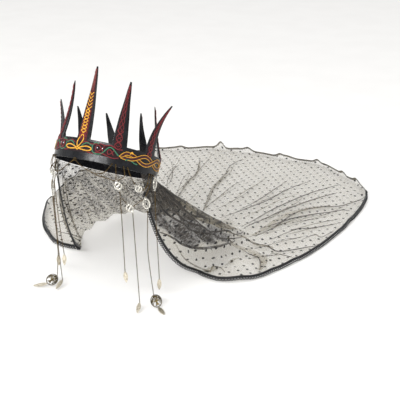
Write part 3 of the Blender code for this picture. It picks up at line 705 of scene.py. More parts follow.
def make_satin_stitch(name, color):
    """Satin stitch in stranded thread: close parallel threads laid across the spike, with painted shade
    between the threads and a painted sheen in soft patches.
    """
    material, tree, shader = start_material(
        name, Sheen_Weight=0.08, Sheen_Roughness=0.35, Specular_IOR_Level=0.3, Anisotropic=0.4
    )
    run = add_node(tree, "SeparateXYZ", (add_node(tree, "UVMap"),))
    # Threads 0.8 mm apart, drawn about twice as coarse as real ones to show
    rows = add_node(tree, "Math", (run.outputs[1], 1 / (0.8 * MM)), operation="MULTIPLY")
    row = add_node(tree, "Math", (rows, 0.5), operation="PINGPONG")
    round_top = add_node(tree, "MapRange", {"Value": row, 1: 0.0, 2: 0.4})
    place = add_node(tree, "TexCoord").outputs["Object"]
    shine = patch_noise(tree, place, 4 * MM)
    # The soft patches brighten the thread's colour by half again: a painted sheen
    painted_sheen = add_node(tree, "Mix", {0: shine, 6: color, 7: [c * 1.5 for c in color]}, data_type="RGBA")
    # Between the threads the colour drops to a third of itself: painted shade
    ends = {0: round_top, 6: [c * 0.3 for c in color], 7: painted_sheen.outputs[2]}
    base = add_node(tree, "Mix", ends, data_type="RGBA")
    dress_shader(tree, shader, base.outputs[2], round_top, (0.7, 0.45), round_top, 0.18 * MM)
    return material


def make_metal(name, bright, dull, dull_share, low, high):
    """Cast or drawn metal with its patina: dull in soft patches, brighter where it is handled."""
    material, tree, shader = start_material(name, Metallic=1.0)
    place = add_node(tree, "TexCoord").outputs["Object"]
    patina = patch_noise(tree, place, 2 * MM, 4.0, dull_share, dull_share + 0.25)
    # A cast wire's top is handled and bright, and its sides keep the patina
    run = add_node(tree, "SeparateXYZ", (add_node(tree, "UVMap"),))
    turn = add_node(tree, "Math", (run.outputs[1], math.tau), operation="MULTIPLY")
    rise = add_node(tree, "Math", (turn,), operation="SINE")
    worn = add_node(tree, "MapRange", {"Value": rise, 1: -0.1, 2: 0.75, 3: 0.35, 4: 1.0})
    bare = add_node(tree, "Math", (patina, worn), operation="MULTIPLY")
    base = add_node(tree, "Mix", {0: bare, 6: dull, 7: bright}, data_type="RGBA")
    pits = add_node(tree, "TexNoise", {"Vector": place, "Scale": 1 / (0.5 * MM), "Detail": 3.0})
    dress_shader(tree, shader, base.outputs[2], patina, (high, low), pits, 0.05 * MM, 0.6)
    return material


# A mesh's side that is yarn, and what one more layer of the net leaves open
YARN_SHARE = 0.15
LAYER_OPEN = 0.78
# Rows of dots, shifted in shares of their spacing; the later ones show where layers overlap
DOT_LATTICES = ((0.0, 0.0, 0.0), (0.5, 0.5, 0.0), (0.27, 0.13, 1.7), (0.77, 0.61, 1.7))


def draw_net(tree, run, crowd, crumple, mesh):
    """How closed the net is: its yarns on both slants, and less open in each further layer."""
    yarns = []
    for slant in ("ADD", "SUBTRACT"):
        line = add_node(tree, "Math", (run, run.outputs[1]), operation=slant)
        meshes = add_node(tree, "Math", (line, mesh), operation="DIVIDE")
        cell = add_node(tree, "Math", (meshes,), operation="FRACT")
        yarns.append(add_node(tree, "Math", (cell, YARN_SHARE), operation="LESS_THAN"))
    yarn = add_node(tree, "Math", yarns, operation="MAXIMUM")
    bare = add_node(tree, "Math", (1.0, yarn), operation="SUBTRACT")
    more = add_node(tree, "Math", (crowd, 1.0), operation="SUBTRACT")
    more = add_node(tree, "Math", (more, 0.0), operation="MAXIMUM")
    uneven = add_node(tree, "Math", (crumple, 1.2, 0.4), operation="MULTIPLY_ADD")
    layers = add_node(tree, "Math", (more, uneven), operation="MULTIPLY")
    through = add_node(tree, "Math", (LAYER_OPEN, layers), operation="POWER")
    open_share = add_node(tree, "Math", (bare, through), operation="MULTIPLY")
    return add_node(tree, "Math", (1.0, open_share), operation="SUBTRACT")


def draw_dots(tree, cloth, crowd, sizes):
    """Where the flocked dots are: in every lattice that the crowded cloth shows here."""
    per_metre = (1 / sizes.dot_across, 1 / sizes.dot_along, 0.0)
    spacing = (sizes.dot_across, sizes.dot_along, 0.0)
    dots = 0.0
    for across, down, from_crowd in DOT_LATTICES:
        shift = (cloth, per_metre, (across, down, 0.0))
        shifted = add_node(tree, "VectorMath", shift, operation="MULTIPLY_ADD")
        cell = add_node(tree, "VectorMath", (shifted,), operation="FRACTION")
        aside = add_node(tree, "VectorMath", (cell, (0.5, 0.5, 0.0)), operation="SUBTRACT")
        apart = add_node(tree, "VectorMath", (aside, spacing), operation="MULTIPLY")
        reach = add_node(tree, "VectorMath", (apart,), operation="LENGTH").outputs["Value"]
        inside = add_node(tree, "Math", (reach, sizes.dot_size / 2), operation="LESS_THAN")
        shows = add_node(tree, "Math", (crowd, from_crowd), operation="GREATER_THAN")
        seen = add_node(tree, "Math", (inside, shows), operation="MULTIPLY")
        dots = add_node(tree, "Math", (dots, seen), operation="MAXIMUM")
    return dots


def make_tulle(sizes, color):
    """Nylon bobbinet with flocked dots: a fine open net, denser wherever it is gathered."""
    material, tree, shader = start_material("dotted_nylon_tulle", Roughness=0.8, Sheen_Weight=0.1)
    cloth = add_node(tree, "UVMap")
    crowd = add_node(tree, "Attribute", attribute_name="crowd").outputs["Fac"]
    run = add_node(tree, "SeparateXYZ", (cloth,))
    # Crushed net lies in small crumples about 3 mm across, denser and thinner by turns
    crumple = patch_noise(tree, cloth, 3 * MM, 3.0)
    net = draw_net(tree, run, crowd, crumple, sizes.net_mesh)
    dots = draw_dots(tree, cloth, crowd, sizes)
    alpha = add_node(tree, "Math", (net, dots), operation="MAXIMUM")
    # A single layer's yarn is painted a light warm beige, as painted light through it, and crowded yarns
    # are painted toward black, as painted shade
    painted_shade_share = add_node(tree, "MapRange", {"Value": crowd, 1: 1.7, 2: 4.2})
    yarn = add_node(tree, "Mix", {0: painted_shade_share, 6: linear("#938a75"), 7: color}, data_type="RGBA")
    ends = {0: dots, 6: yarn.outputs[2], 7: linear("#0c0b0b")}
    base = add_node(tree, "Mix", ends, data_type="RGBA")
    tree.links.new(base.outputs[2], shader.inputs["Base Color"])
    tree.links.new(alpha.outputs[0], shader.inputs["Alpha"])
    return material


def make_satin_ribbon(color):
    """Black polyester satin ribbon: a smooth face with fine ribs along its length."""
    material, tree, shader = start_material(
        "black_satin_ribbon", Sheen_Weight=0.06, Specular_IOR_Level=0.25
    )
    run = add_node(tree, "SeparateXYZ", (add_node(tree, "UVMap"),))
    # Weft ribs 0.9 mm apart, as a narrow grosgrain edge shows
    ribs = add_node(tree, "Math", (run, 1 / (0.9 * MM)), operation="MULTIPLY")
    rib = add_node(tree, "Math", (ribs, 0.5), operation="PINGPONG")
    place = add_node(tree, "TexCoord").outputs["Object"]
    wear = patch_noise(tree, place, 30 * MM)
    base = add_node(tree, "Mix", {0: wear, 6: color, 7: linear("#19191c")}, data_type="RGBA")
    shine = patch_noise(tree, place, 8 * MM)
    dress_shader(tree, shader, base.outputs[2], shine, (0.3, 0.5), rib, 0.12 * MM)
    return material


def make_backdrop():
    """Matt white studio paper: nearly even, with a barely visible tooth."""
    material, tree, shader = start_material("matt_studio_paper", Roughness=0.9)
    tooth = patch_noise(tree, add_node(tree, "TexCoord").outputs["Object"], 120 * MM)
    ends = {0: tooth, 6: linear("#f6f5f3"), 7: linear("#f8f7f5")}
    base = add_node(tree, "Mix", ends, data_type="RGBA")
    tree.links.new(base.outputs[2], shader.inputs["Base Color"])
    return material


@lru_cache(maxsize=None)
def shared_materials():
    """Every finish of the headdress, made once."""
    sizes = bpy.context.scene.headdress_sizes
    colors = bpy.context.scene.headdress_colors
    return {
        "strap": make_strap_leather(colors.strap),
        # Each cord's second colour is the painted shade of its grooves
        "gold": make_thread("golden_rayon_cord", colors.gold, linear("#8a4a12")),
        "red": make_thread("red_rayon_cord", colors.red, linear("#4a1218")),
        "green": make_thread("green_rayon_cord", colors.green, linear("#173627")),
        "maroon": make_thread("maroon_rayon_cord", colors.maroon, linear("#1c050a")),
        "satin": make_satin_stitch("maroon_satin_stitch", linear("#4a0f18")),
        "shade": make_satin_stitch("dark_satin_stitch", linear("#220b10")),
        "tip": make_thread("brown_red_rayon_cord", linear("#7c3530"), linear("#35100f")),
        "stud": make_metal("polished_pewter_stud", linear("#f0f1f4"), linear("#b5b8be"), 0.3, 0.2, 0.34),
        "silver": make_metal("cast_white_metal", colors.silver, linear("#514d46"), 0.3, 0.2, 0.45),
        "bronze": make_metal("antiqued_brass_wire", colors.bronze, linear("#3a3020"), 0.3, 0.34, 0.6),
        "dark_bronze": make_metal("cast_dark_bronze", linear("#857650"), linear("#2b2417"), 0.36, 0.5, 0.7),
        "pewter": make_metal("cast_grey_pewter", linear("#e2dac8"), linear("#9a917d"), 0.3, 0.3, 0.5),
        "tulle": make_tulle(sizes, colors.tulle),
        "ribbon": make_satin_ribbon(colors.ribbon),
        "paper": make_backdrop(),
    }


def finish_piece(bm, name, finishes, replaced=(), sharp=50.0, weld=False):
    """Make the object, give it its finishes, and let it ride on the body in its nodes' place."""
    if weld:
        bmesh.ops.remove_doubles(bm, verts=bm.verts, dist=0.001 * MM)
        bmesh.ops.recalc_face_normals(bm, faces=bm.faces)
    if not bm.faces:
        raise RuntimeError(f"{name} has no faces")
    mesh = bpy.data.meshes.new(name)
    bm.to_mesh(mesh)
    bm.free()
    mesh.shade_smooth()
    mesh.set_sharp_from_angle(angle=math.radians(sharp))
    for finish in finishes:
        mesh.materials.append(shared_materials()[finish])
    piece = bpy.data.objects.new(name, mesh)
    bpy.context.scene.collection.objects.link(piece)
    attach(piece, "root")
    if replaced:
        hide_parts(*replaced)
    return piece


def add_grid(bm, columns, rows):
    """Add a flat grid, and give each of its vertices with its shares of the way across and up."""
    made = bmesh.ops.create_grid(bm, x_segments=columns, y_segments=rows, size=0.5)["verts"]
    return [(vert, vert.co.x + 0.5, vert.co.y + 0.5) for vert in made]


def lay_pattern(faces, uv, spots, finish=0):
    """Give the faces a finish, and each corner its vertex's spot in the finish's pattern."""
    for face in faces:
        face.material_index = finish
        for loop in face.loops:
            loop[uv].uv = spots[loop.vert]


def faces_at(verts):
    """The faces that meet these vertices."""
    return {face for vert in verts for face in vert.link_faces}


def add_bead(bm, radius, place, finish=0, subdivisions=2, stretch=(1, 1, 1)):
    """Add a small round bead, stretched along the axes."""
    made = bmesh.ops.create_icosphere(bm, subdivisions=subdivisions, radius=radius)["verts"]
    bmesh.ops.scale(bm, verts=made, vec=stretch)
    bmesh.ops.translate(bm, verts=made, vec=place)
    for face in faces_at(made):
        face.material_index = finish


def add_strand(bm, places, outward, width, height, finish=0, closed=False, sides=STRAND_SIDES):
    """Lay a rounded strand of this width and height through the places, its back to the surface."""
    rows = len(places) if closed else len(places) - 1
    uv = bm.loops.layers.uv.verify()
    lengths = [0.0]
    for a, b in zip(places, places[1:] + places[:1]):
        lengths.append(lengths[-1] + (b - a).length)
    frames = []
    for index, (place, normal) in enumerate(zip(places, outward)):
        ahead = places[(index + 1) % len(places)] if closed or index + 1 < len(places) else place
        behind = places[index - 1] if closed or index > 0 else place
        frames.append((place, (ahead - behind).cross(normal).normalized(), normal))
    spots = {}
    for vert, along, turn in add_grid(bm, rows, sides):
        index = round(along * rows)
        spots[vert] = (lengths[index], turn)
        place, side, normal = frames[index % len(places)]
        angle = math.tau * turn
        vert.co = place + side * (math.cos(angle) * width / 2) + normal * (math.sin(angle) * height / 2)
    lay_pattern(faces_at(spots), uv, spots, finish)
    bmesh.ops.remove_doubles(bm, verts=list(spots), dist=0.002 * MM)
    if not closed:
        rims = {edge for vert in spots if vert.is_valid for edge in vert.link_edges if edge.is_boundary}
        for cap in bmesh.ops.holes_fill(bm, edges=list(rims), sides=sides)["faces"]:
            cap.material_index = finish


def smooth_run(points, steps, closed=False):
    """Places along the smooth curve through the points, with this many for each point."""
    points = [Vector(p) if len(p) == 3 else Vector((*p, 0.0)) for p in points]
    if closed:
        count = len(points) * steps
        ring = points[-2:] + points + points[:3]
        lengths = [(b - a).length for a, b in zip(ring, ring[1:])]
        total = sum(lengths)
        start = sum(lengths[:2]) / total
        end = sum(lengths[: 2 + len(points)]) / total
        return [smooth_place(ring, blend(start, end, i / count)) for i in range(count)]
    count = (len(points) - 1) * steps
    return [smooth_place(points, i / count) for i in range(count + 1)]


def on_crown(spike, angle, height, lift):
    """A place on the outer face: degrees from the spike's middle, mm above the lower rim."""
    turn = math.radians(spike.place + angle)
    rise = (height * MM - BAND_HEIGHT) / (spike.length * MM)
    if rise <= 0:
        return band_point(turn, height * MM, BAND_RADIUS + lift)
    face = spike_point(spike, turn, False, min(rise, 1.0))
    middle = math.radians(spike.place)
    return face + band_point(middle) / BAND_RADIUS * lift


def outward_at(spike, angle, height):
    """The direction square to the crown's outer face at this place."""
    step = 0.4
    across = on_crown(spike, angle + step, height, 0) - on_crown(spike, angle - step, height, 0)
    up = on_crown(spike, angle, height + step, 0) - on_crown(spike, angle, height - step, 0)
    return across.cross(up).normalized()


def embroider(bm, spike, points, thread, width, height, closed=False, ground=0.0):
    """Lay a strand over the crown's face; a point's third number lifts it over its neighbours."""
    normals = [outward_at(spike, angle, up) for angle, up, _ in points]
    places = [
        on_crown(spike, angle, up, 0) + normal * (ground + height * STRAND_SEAT + lift)
        for (angle, up, lift), normal in zip(points, normals)
    ]
    add_strand(bm, places, normals, width, height, THREADS.index(thread), closed)


def woven(points, waves):
    """Lift the run of points up and down so that it goes over and under what it meets."""
    last = max(len(points) - 1, 1)
    turns = [math.tau * waves * index / last for index in range(len(points))]
    return [(p.x, p.y, WEAVE_LIFT * (1 + math.sin(turn)) / 2) for p, turn in zip(points, turns)]


def crossing(a, b, c, d):
    """Where the flat lines ab and cd cross, as shares of each, or None."""
    ab, cd, ac = b - a, d - c, c - a
    spread = ab.x * cd.y - ab.y * cd.x
    if abs(spread) < 1e-14:
        return None
    first = (ac.x * cd.y - ac.y * cd.x) / spread
    second = (ac.x * ab.y - ac.y * ab.x) / spread
    return (first, second) if 0 <= first < 1 and 0 <= second < 1 else None


def weave_lifts(run):
    """A closed knot's lift at each point, so that it goes over and under itself by turns."""
    count = len(run)
    meets = []
    for i in range(count):
        for j in range(i + 2, count):
            if i == 0 and j == count - 1:
                continue
            shares = crossing(run[i], run[(i + 1) % count], run[j], run[(j + 1) % count])
            if shares:
                meets += [i + shares[0], j + shares[1]]
    meets.sort()
    if not meets:
        return [0.0] * count
    lifts = []
    for index in range(count):
        after = next((k for k, place in enumerate(meets) if place > index), 0)
        before = (after - 1) % len(meets)
        span = (meets[after] - meets[before]) % count or count
        share = ((index - meets[before]) % count) / span
        level = math.cos(math.pi * share) * (1 if before % 2 else -1)
        lifts.append(WEAVE_LIFT * (1 + level) / 2)
    return lifts


def embroider_knot(bm, knot, side, sizes):
    """A closed knot, three bights tall and two wide, that goes over and under itself."""
    run = []
    for step in range(KNOT_STEPS):
        turn = math.tau * step / KNOT_STEPS
        x = math.sin(2 * turn + KNOT_LEAN) * knot.width / 2
        y = math.sin(3 * turn) * knot.tall / 2
        run.append(Vector((x, y, 0)) * MM)
    points = []
    for p, lift in zip(run, weave_lifts(run)):
        angle = PATTERN_MIDDLE + side * (knot.angle + math.degrees(p.x / BAND_RADIUS))
        points.append((angle, knot.height + p.y / MM, lift))
    width = sizes.strand_width * KNOT_BOLD
    embroider(bm, FRONT, points, knot.thread, width, sizes.strand_height, True, FIELD_RISE)


def embroider_band(bm, sizes):
    """The front's loops, waves and knots, on both sides of the middle, and the small ring."""
    width, height = sizes.strand_width, sizes.strand_height
    for side in (1, -1):
        for motif in BAND_MOTIFS:
            run = smooth_run(motif.points, STRAND_STEPS, motif.closed)
            run = [Vector((PATTERN_MIDDLE + side * p.x, p.y, 0)) for p in run]
            run = woven(run, max(1, round(len(motif.points) / POINTS_A_WAVE)))
            bold = RED_BOLD if motif.thread == "red" else PLAIN_BOLD
            embroider(bm, FRONT, run, motif.thread, width * bold, height, motif.closed, FIELD_RISE)
        for knot in BAND_KNOTS:
            embroider_knot(bm, knot, side, sizes)
        for stud in BAND_STUDS:
            place = on_crown(FRONT, PATTERN_MIDDLE + side * stud.angle, stud.height, height)
            add_bead(bm, stud.size / 2 * MM, place, THREADS.index("stud"))
    ring = smooth_run(RING.points, STRAND_STEPS, True)
    ring = [(PATTERN_MIDDLE + p.x, p.y, WEAVE_LIFT) for p in ring]
    embroider(bm, FRONT, ring, "gold", width, height, True, FIELD_RISE)


def embroider_rope(bm, sizes):
    """Two gold-edged maroon strands twisted round each other, from the front round the back."""
    count = round((ROPE_END - ROPE_START) / ROPE_STEP)
    per_degree = math.radians(1) * BAND_RADIUS / MM
    for phase in (0.0, math.pi):
        middle = []
        for step in range(count + 1):
            angle = blend(ROPE_START, ROPE_END, step / count)
            turn = math.tau * ROPE_TURNS * step / count + ROPE_SHIFT + phase
            inset = min(angle - ROPE_START, ROPE_END - angle)
            fade = ease(0, ROPE_FADE, inset)
            swing = blend(ROPE_END_SWING, ROPE_SWING, ease(*ROPE_SWELLS, inset)) * fade
            up = ROPE_MIDDLE - ROPE_END_DROP * (1 - fade) + swing * math.sin(turn)
            middle.append(Vector((angle, up, ROPE_LIFT * (1 + math.cos(turn)) / 2)))
        embroider(bm, FRONT, middle, "maroon", ROPE_FILL, sizes.strand_height)
        for edge in (1, -1):
            run = []
            for index, p in enumerate(middle):
                way = middle[min(index + 1, count)] - middle[max(index - 1, 0)]
                way = Vector((way.x * per_degree, way.y)).normalized()
                inset = min(p.x - ROPE_START, ROPE_END - p.x)
                reach = ROPE_EDGE / MM * edge * ease(0, ROPE_EDGE_OPENS, inset + ROPE_EDGE_APART)
                aside = way.y * reach / per_degree
                run.append((p.x - aside, p.y + way.x * reach, p.z + ROPE_EDGE_LIFT))
            embroider(bm, FRONT, run, "gold", sizes.strand_width * ROPE_EDGE_BOLD, sizes.strand_height)


def lay_field(bm, spike, columns, rows, spot, thread):
    """A low cushion of satin stitch; spot gives degrees and mm for each share across and up."""
    uv = bm.loops.layers.uv.verify()
    spots = {}
    for vert, share, up in add_grid(bm, columns, rows):
        across = 2 * share - 1
        angle, height = spot(across, up)
        spots[vert] = (angle * MM_A_DEGREE * MM, height * MM)
        rise = FIELD_CLEAR + FIELD_RISE * (1 - abs(across) ** 4)
        vert.co = on_crown(spike, angle, height, 0) + outward_at(spike, angle, height) * rise
    faces = faces_at(spots)
    lay_pattern(faces, uv, spots, THREADS.index(thread))
    rim = [edge for edge in {e for f in faces for e in f.edges} if edge.is_boundary]
    skirt = bmesh.ops.extrude_edge_only(bm, edges=rim)["geom"]
    for item in skirt:
        if isinstance(item, bmesh.types.BMVert):
            item.co -= Vector((item.co.x, item.co.y, 0)).normalized() * FIELD_SKIRT
        elif isinstance(item, bmesh.types.BMEdge):
            for face in item.link_faces:
                face.material_index = THREADS.index(thread)


def embroider_field(bm, spike, ornament):
    """The satin-stitch ground of a spike, inside its plain border."""
    top = BAND_HEIGHT / MM + spike.length * FIELD_TOP

    def spot(across, share):
        angle = SPIKE_HALF_ANGLE * (ornament.middle + across * ornament.reach)
        return angle, blend(FIELD_START, top, share)

    lay_field(bm, spike, 4, 36, spot, "satin" if ornament.kind == "ladder" else "shade")


def embroider_ground(bm):
    """The dark matt ground behind the front's knots, between the plain rims of the band."""

    def spot(across, share):
        return PATTERN_MIDDLE + across * GROUND_REACH, blend(GROUND_LOW, GROUND_HIGH, share)

    lay_field(bm, FRONT, 60, 3, spot, "shade")


def twist(bm, spike, ornament, row, spread, sizes):
    """Strands plaited up a spike's face, their reach in shares of the spread to each side."""
    foot = BAND_HEIGHT / MM
    low = foot + row.low_mm + row.low_share * spike.length
    high = foot + row.high_mm + row.high_share * spike.length
    width, height = sizes.strand_width * row.width, sizes.strand_height * row.height
    count = max(12, round(row.turns * TWIST_STEPS))
    for strand in range(row.strands):
        run = []
        for step in range(count + 1):
            share = step / count
            turn = math.tau * (row.turns * share + strand / row.strands)
            angle = SPIKE_HALF_ANGLE * (ornament.middle + row.reach * spread * math.sin(turn))
            over = math.cos(turn) if row.strands == 2 else math.sin(2 * turn)
            run.append((angle, blend(low, high, share), WEAVE_LIFT * (1 + over) / 2))
        embroider(bm, spike, run, row.thread, width, height, False, row.ground)


def embroider_ladder(bm, ornament, sizes):
    """The front spike: a leaf loop, a gold chain of rings, chevrons and a plain brown-red top."""
    width, height = sizes.strand_width, sizes.strand_height
    for row in LADDER_TWISTS:
        twist(bm, FRONT, ornament, row, 1.0, sizes)
    for points in LADDER_LEAVES:
        run = woven(smooth_run(points, STRAND_STEPS), 1)
        embroider(bm, FRONT, run, "gold", width * LEAF_BOLD, height, False, LEAF_GROUND)
    for index in range(CHEVRONS):
        low = BAND_HEIGHT / MM + (CHEVRON_START + CHEVRON_PITCH * index) * FRONT.length
        for side in (1, -1):
            run = []
            for s in (0.0, 0.25, 0.5, 0.75, 1.0):
                aside = side * (ornament.reach - CHEVRON_INSET) * s
                angle = SPIKE_HALF_ANGLE * (ornament.middle + aside)
                run.append((angle, low + CHEVRON_RISE * s, CHEVRON_LIFT * (1 - s)))
            embroider(bm, FRONT, run, "gold", width * CHEVRON_BOLD, height, False, FIELD_RISE)


def embroider_plait(bm, spike, ornament, sizes):
    """A red knotted foot with crossing diamonds, and a three-strand plait to the tip."""
    for row in PLAIT_TWISTS:
        twist(bm, spike, ornament, row, ornament.reach * PLAIT_SPREAD, sizes)


class HEADDRESS_OT_crown(bpy.types.Operator):
    """Model the tilted strap band with its nine spikes"""

    bl_idname = "headdress.crown"
    bl_label = "Strap crown"

    def execute(self, context):
        bm = bmesh.new()
        inner = BAND_RADIUS - BAND_WALL
        corners = ((inner, 0), (BAND_RADIUS, 0), (BAND_RADIUS, BAND_HEIGHT), (inner, BAND_HEIGHT))
        section = [bm.verts.new((0.0, -radius, height)) for radius, height in corners]
        edges = [bm.edges.new((section[i - 1], section[i])) for i in range(len(section))]
        axis = {"cent": (0, 0, 0), "axis": (0, 0, 1)}
        bmesh.ops.spin(
            bm, geom=section + edges, **axis, angle=math.tau, steps=BAND_COLUMNS, use_merge=True
        )
        bmesh.ops.remove_doubles(bm, verts=bm.verts, dist=0.01 * MM)
        bmesh.ops.recalc_face_normals(bm, faces=bm.faces)
        angle_of = bm.verts.layers.float.new("angle")
        inside_of = bm.verts.layers.int.new("inside")
        for vert in bm.verts:
            x, y, _ = vert.co
            vert[angle_of] = math.atan2(x, -y)
            vert[inside_of] = int(math.hypot(x, y) < BAND_RADIUS - BAND_WALL / 2)
        top = [face for face in bm.faces if all(v.co.z > BAND_HEIGHT / 2 for v in face.verts)]
        middles = {face: face.calc_center_median() for face in top}
        turn = Matrix.Rotation(-BAND_TILT, 3, "X")
        bmesh.ops.rotate(bm, verts=bm.verts, cent=(0, 0, 0), matrix=turn)
        reach = math.tau / BAND_COLUMNS * SPIKE_HALF_COLUMNS
        for spike in SPIKES:
            place = math.radians(spike.place)
            foot = Vector((math.sin(place), -math.cos(place)))
            crest = [f for f in middles if middles[f].xy.angle(foot) < reach]
            for level in range(SPIKE_LEVELS):
                raised = bmesh.ops.extrude_face_region(bm, geom=crest)["geom"]
                bmesh.ops.delete(bm, geom=crest, context="FACES")
                crest = [item for item in raised if isinstance(item, bmesh.types.BMFace)]
                rise = (level + 1) / SPIKE_LEVELS
                for vert in {v for face in crest for v in face.verts}:
                    vert.co = spike_point(spike, vert[angle_of], vert[inside_of], rise)
            middles = {f: middle for f, middle in middles.items() if f.is_valid}
        bmesh.ops.recalc_face_normals(bm, faces=bm.faces)
        crown = finish_piece(bm, "crown_strap", ("strap",), ("crown",))
        soften = crown.modifiers.new("Rounded edges", "BEVEL")
        soften.width = STRAP_ROUNDING
        soften.segments = 2
        soften.limit_method = "ANGLE"
        soften.angle_limit = math.radians(50)
        return {"FINISHED"}


class HEADDRESS_OT_embroidery(bpy.types.Operator):
    """Lay the knotwork of coloured cord and satin stitch on the crown's outer face"""

    bl_idname = "headdress.embroidery"
    bl_label = "Embroidery"

    def execute(self, context):
        sizes = context.scene.headdress_sizes
        band = bmesh.new()
        embroider_ground(band)
        embroider_band(band, sizes)
        embroider_rope(band, sizes)
        finish_piece(band, "band_embroidery", THREADS, weld=True)
        spikes = bmesh.new()
        for ornament in ORNAMENTS:
            spike = SPIKES[ornament.spike]
            embroider_field(spikes, spike, ornament)
            if ornament.kind == "ladder":
                embroider_ladder(spikes, ornament, sizes)
            else:
                embroider_plait(spikes, spike, ornament, sizes)
        finish_piece(spikes, "spike_embroidery", THREADS, weld=True)
        return {"FINISHED"}


@lru_cache(maxsize=None)
def veil_seam(along):
    """The place on the veil's gathered seam, just inside and under the band's lower rim."""
    return band_point(blend(VEIL_START, VEIL_END, along), -VEIL_SEAM_DROP, VEIL_SEAM_RADIUS)


@lru_cache(maxsize=None)
def place_on_floor(places, along):
    """A place on the veil's foot or rim, its corners rounded as cut cloth has them."""
    points = [Vector((p.x * MM, p.y * MM, LYING_HEIGHT)) for p in places]
    reach = min(RIM_ROUNDING, along, 1 - along)
    near = [smooth_place(points, along + reach * shift) for shift in (-1, -0.5, 0, 0.5, 1)]
    return sum(near, Vector()) / len(near)


def veil_base(along, down):
    """The veil without its folds: it falls from the seam to its foot, then lies out to its rim."""
    seam = veil_seam(along)
    foot = place_on_floor(VEIL_FOOT, along)
    if down >= VEIL_HANG_SHARE:
        lying = (down - VEIL_HANG_SHARE) / (1 - VEIL_HANG_SHARE)
        place = foot.lerp(place_on_floor(VEIL_RIM, along), lying)
        beside = 1 - ease(0, SIDE_BOW_FADES, min(along, 1 - along))
        place.y -= SIDE_BOW * 4 * lying * (1 - lying) * beside
        return place
    hanging = down / VEIL_HANG_SHARE
    sideness = (2 * along - 1) ** 2
    drop = blend(1 - (1 - hanging) ** HANG_DROP_POWER, hanging, sideness)
    side_spread = blend(hanging**SIDE_SPREAD_POWER, hanging, SIDE_SPREAD_STEADY)
    spread = blend(hanging, side_spread, sideness)
    place = seam.lerp(foot, spread)
    place.z = blend(seam.z, foot.z, drop)
    return place


def fold_depth(along, down):
    """How far the veil's main folds, which its solid has too, stand out here."""
    if down < VEIL_HANG_SHARE:
        hanging = down / VEIL_HANG_SHARE
        depth = FOLD_DEPTH_HANGING * math.sin(math.pi / 2 * hanging / FOLD_PEAK)
    else:
        lying = (down - VEIL_HANG_SHARE) / (1 - VEIL_HANG_SHARE)
        start = FOLD_DEPTH_HANGING * math.sin(math.pi / 2 / FOLD_PEAK)
        early = min(lying * 4, 1.0)
        depth = blend(blend(start, FOLD_DEPTH_LYING, early), FOLD_DEPTH_AT_RIM, lying**2)
    return depth * (1 - math.cos(math.tau * VEIL_FOLDS * along)) / 2


def rim_lift(along, down):
    """How far up its trim holds the cloth's free edge, as a share."""
    side = (1 - ease(0.0, SIDE_LIFT_ENDS, min(along, 1 - along))) * ease(0.42, 0.5, down)
    return max(ease(RIM_LIFT_STARTS, 1.0, down), side)


def fine_folds(along, down):
    """The small gathers and the rim's ruffles, which the frame's solid leaves out."""
    wander = FINE_GATHER_WANDER * noise.noise(Vector((along * 9, down * 2.5, 4.0)))
    ripple = (1 - math.cos(math.tau * (FINE_GATHERS * along + wander))) / 2
    size = FINE_GATHER_DEPTH * ease(0.0, FINE_GATHER_STARTS, down)
    size *= 1 - ease(FINE_GATHER_FADES, FINE_GATHER_DIES, down)
    least, more = FINE_GATHER_SHARES
    gathers = size * ripple * (least + more * noise.noise(Vector((along * 23, 1.0, 0.0))) ** 2)
    ruffle = RUFFLE_DEPTH * max(noise.noise(Vector((along * RUFFLE_PACE, 7.0, down * 3))), 0.0)
    ruffle += sum(r.height * MM * math.exp(-(((along - r.along) / r.width) ** 2)) for r in RUFFLES)
    ruffle *= ease(RUFFLE_STARTS, 1.0, down)
    crumple = 0.5 + noise.noise(Vector((along * 40, down * 9, 2.0)))
    return gathers + ruffle + CRUMPLE_DEPTH * ease(*CRUMPLE_GROWS, down) * max(crumple, 0.0)


def veil_normal(along, down):
    """The direction square to the veil without its folds, away from the head or up."""
    across = veil_base(min(along + NUDGE, 1), down) - veil_base(max(along - NUDGE, 0), down)
    fall = veil_base(along, min(down + NUDGE, 1)) - veil_base(along, max(down - NUDGE, 0))
    return fall.cross(across).normalized()


def veil_point(along, down):
    """A place on the veil, with its main folds, small gathers and ruffles."""
    outward = veil_normal(along, down)
    outward.z = max(outward.z, 0)
    folds = fold_depth(along, down) + fine_folds(along, down)
    return veil_base(along, down) + outward * folds + UP * (RIM_LIFT * rim_lift(along, down))


def bunching_and_painted_shade(along, down):
    """How much the cloth is bunched here, from 0 to 1, in streaks that run down it; the zone is partly
    gathered cloth and partly painted shade where the head's shade falls.
    """
    inset = min(along, 1 - along)
    limit = BUNCH_REACH[-1].down
    for low, high in zip(BUNCH_REACH, BUNCH_REACH[1:]):
        if inset <= high.along:
            limit = blend(low.down, high.down, (inset - low.along) / (high.along - low.along))
            break
    ragged = down + BUNCH_RAGGED * noise.noise(Vector((along * 24, down * 7, 9.0)))
    streak = 0.75 + 0.9 * noise.noise(Vector((along * 80, down * 34, 5.0)))
    patch = 0.6 + 0.8 * noise.noise(Vector((along * 20, down * 14, 1.0)))
    gone = ease(limit - BUNCH_EDGE[0], limit + BUNCH_EDGE[1], ragged)
    share = (1 - gone) * blend(1, BUNCHED_BEHIND, ease(*BEHIND_FROM_TO, along))
    return share * min(max(streak * patch * 1.5, BUNCH_LEAST), 1.0)


def third_corner(first, second, from_first, from_second, side):
    """The flat place at these distances from two flat places, on one side of their line."""
    line = second - first
    length = line.length
    ahead = (length**2 + from_first**2 - from_second**2) / (2 * length)
    aside = math.sqrt(max(from_first**2 - ahead**2, 0.0)) * side
    line.normalize()
    return first + line * ahead + Vector((-line.y, line.x)) * aside


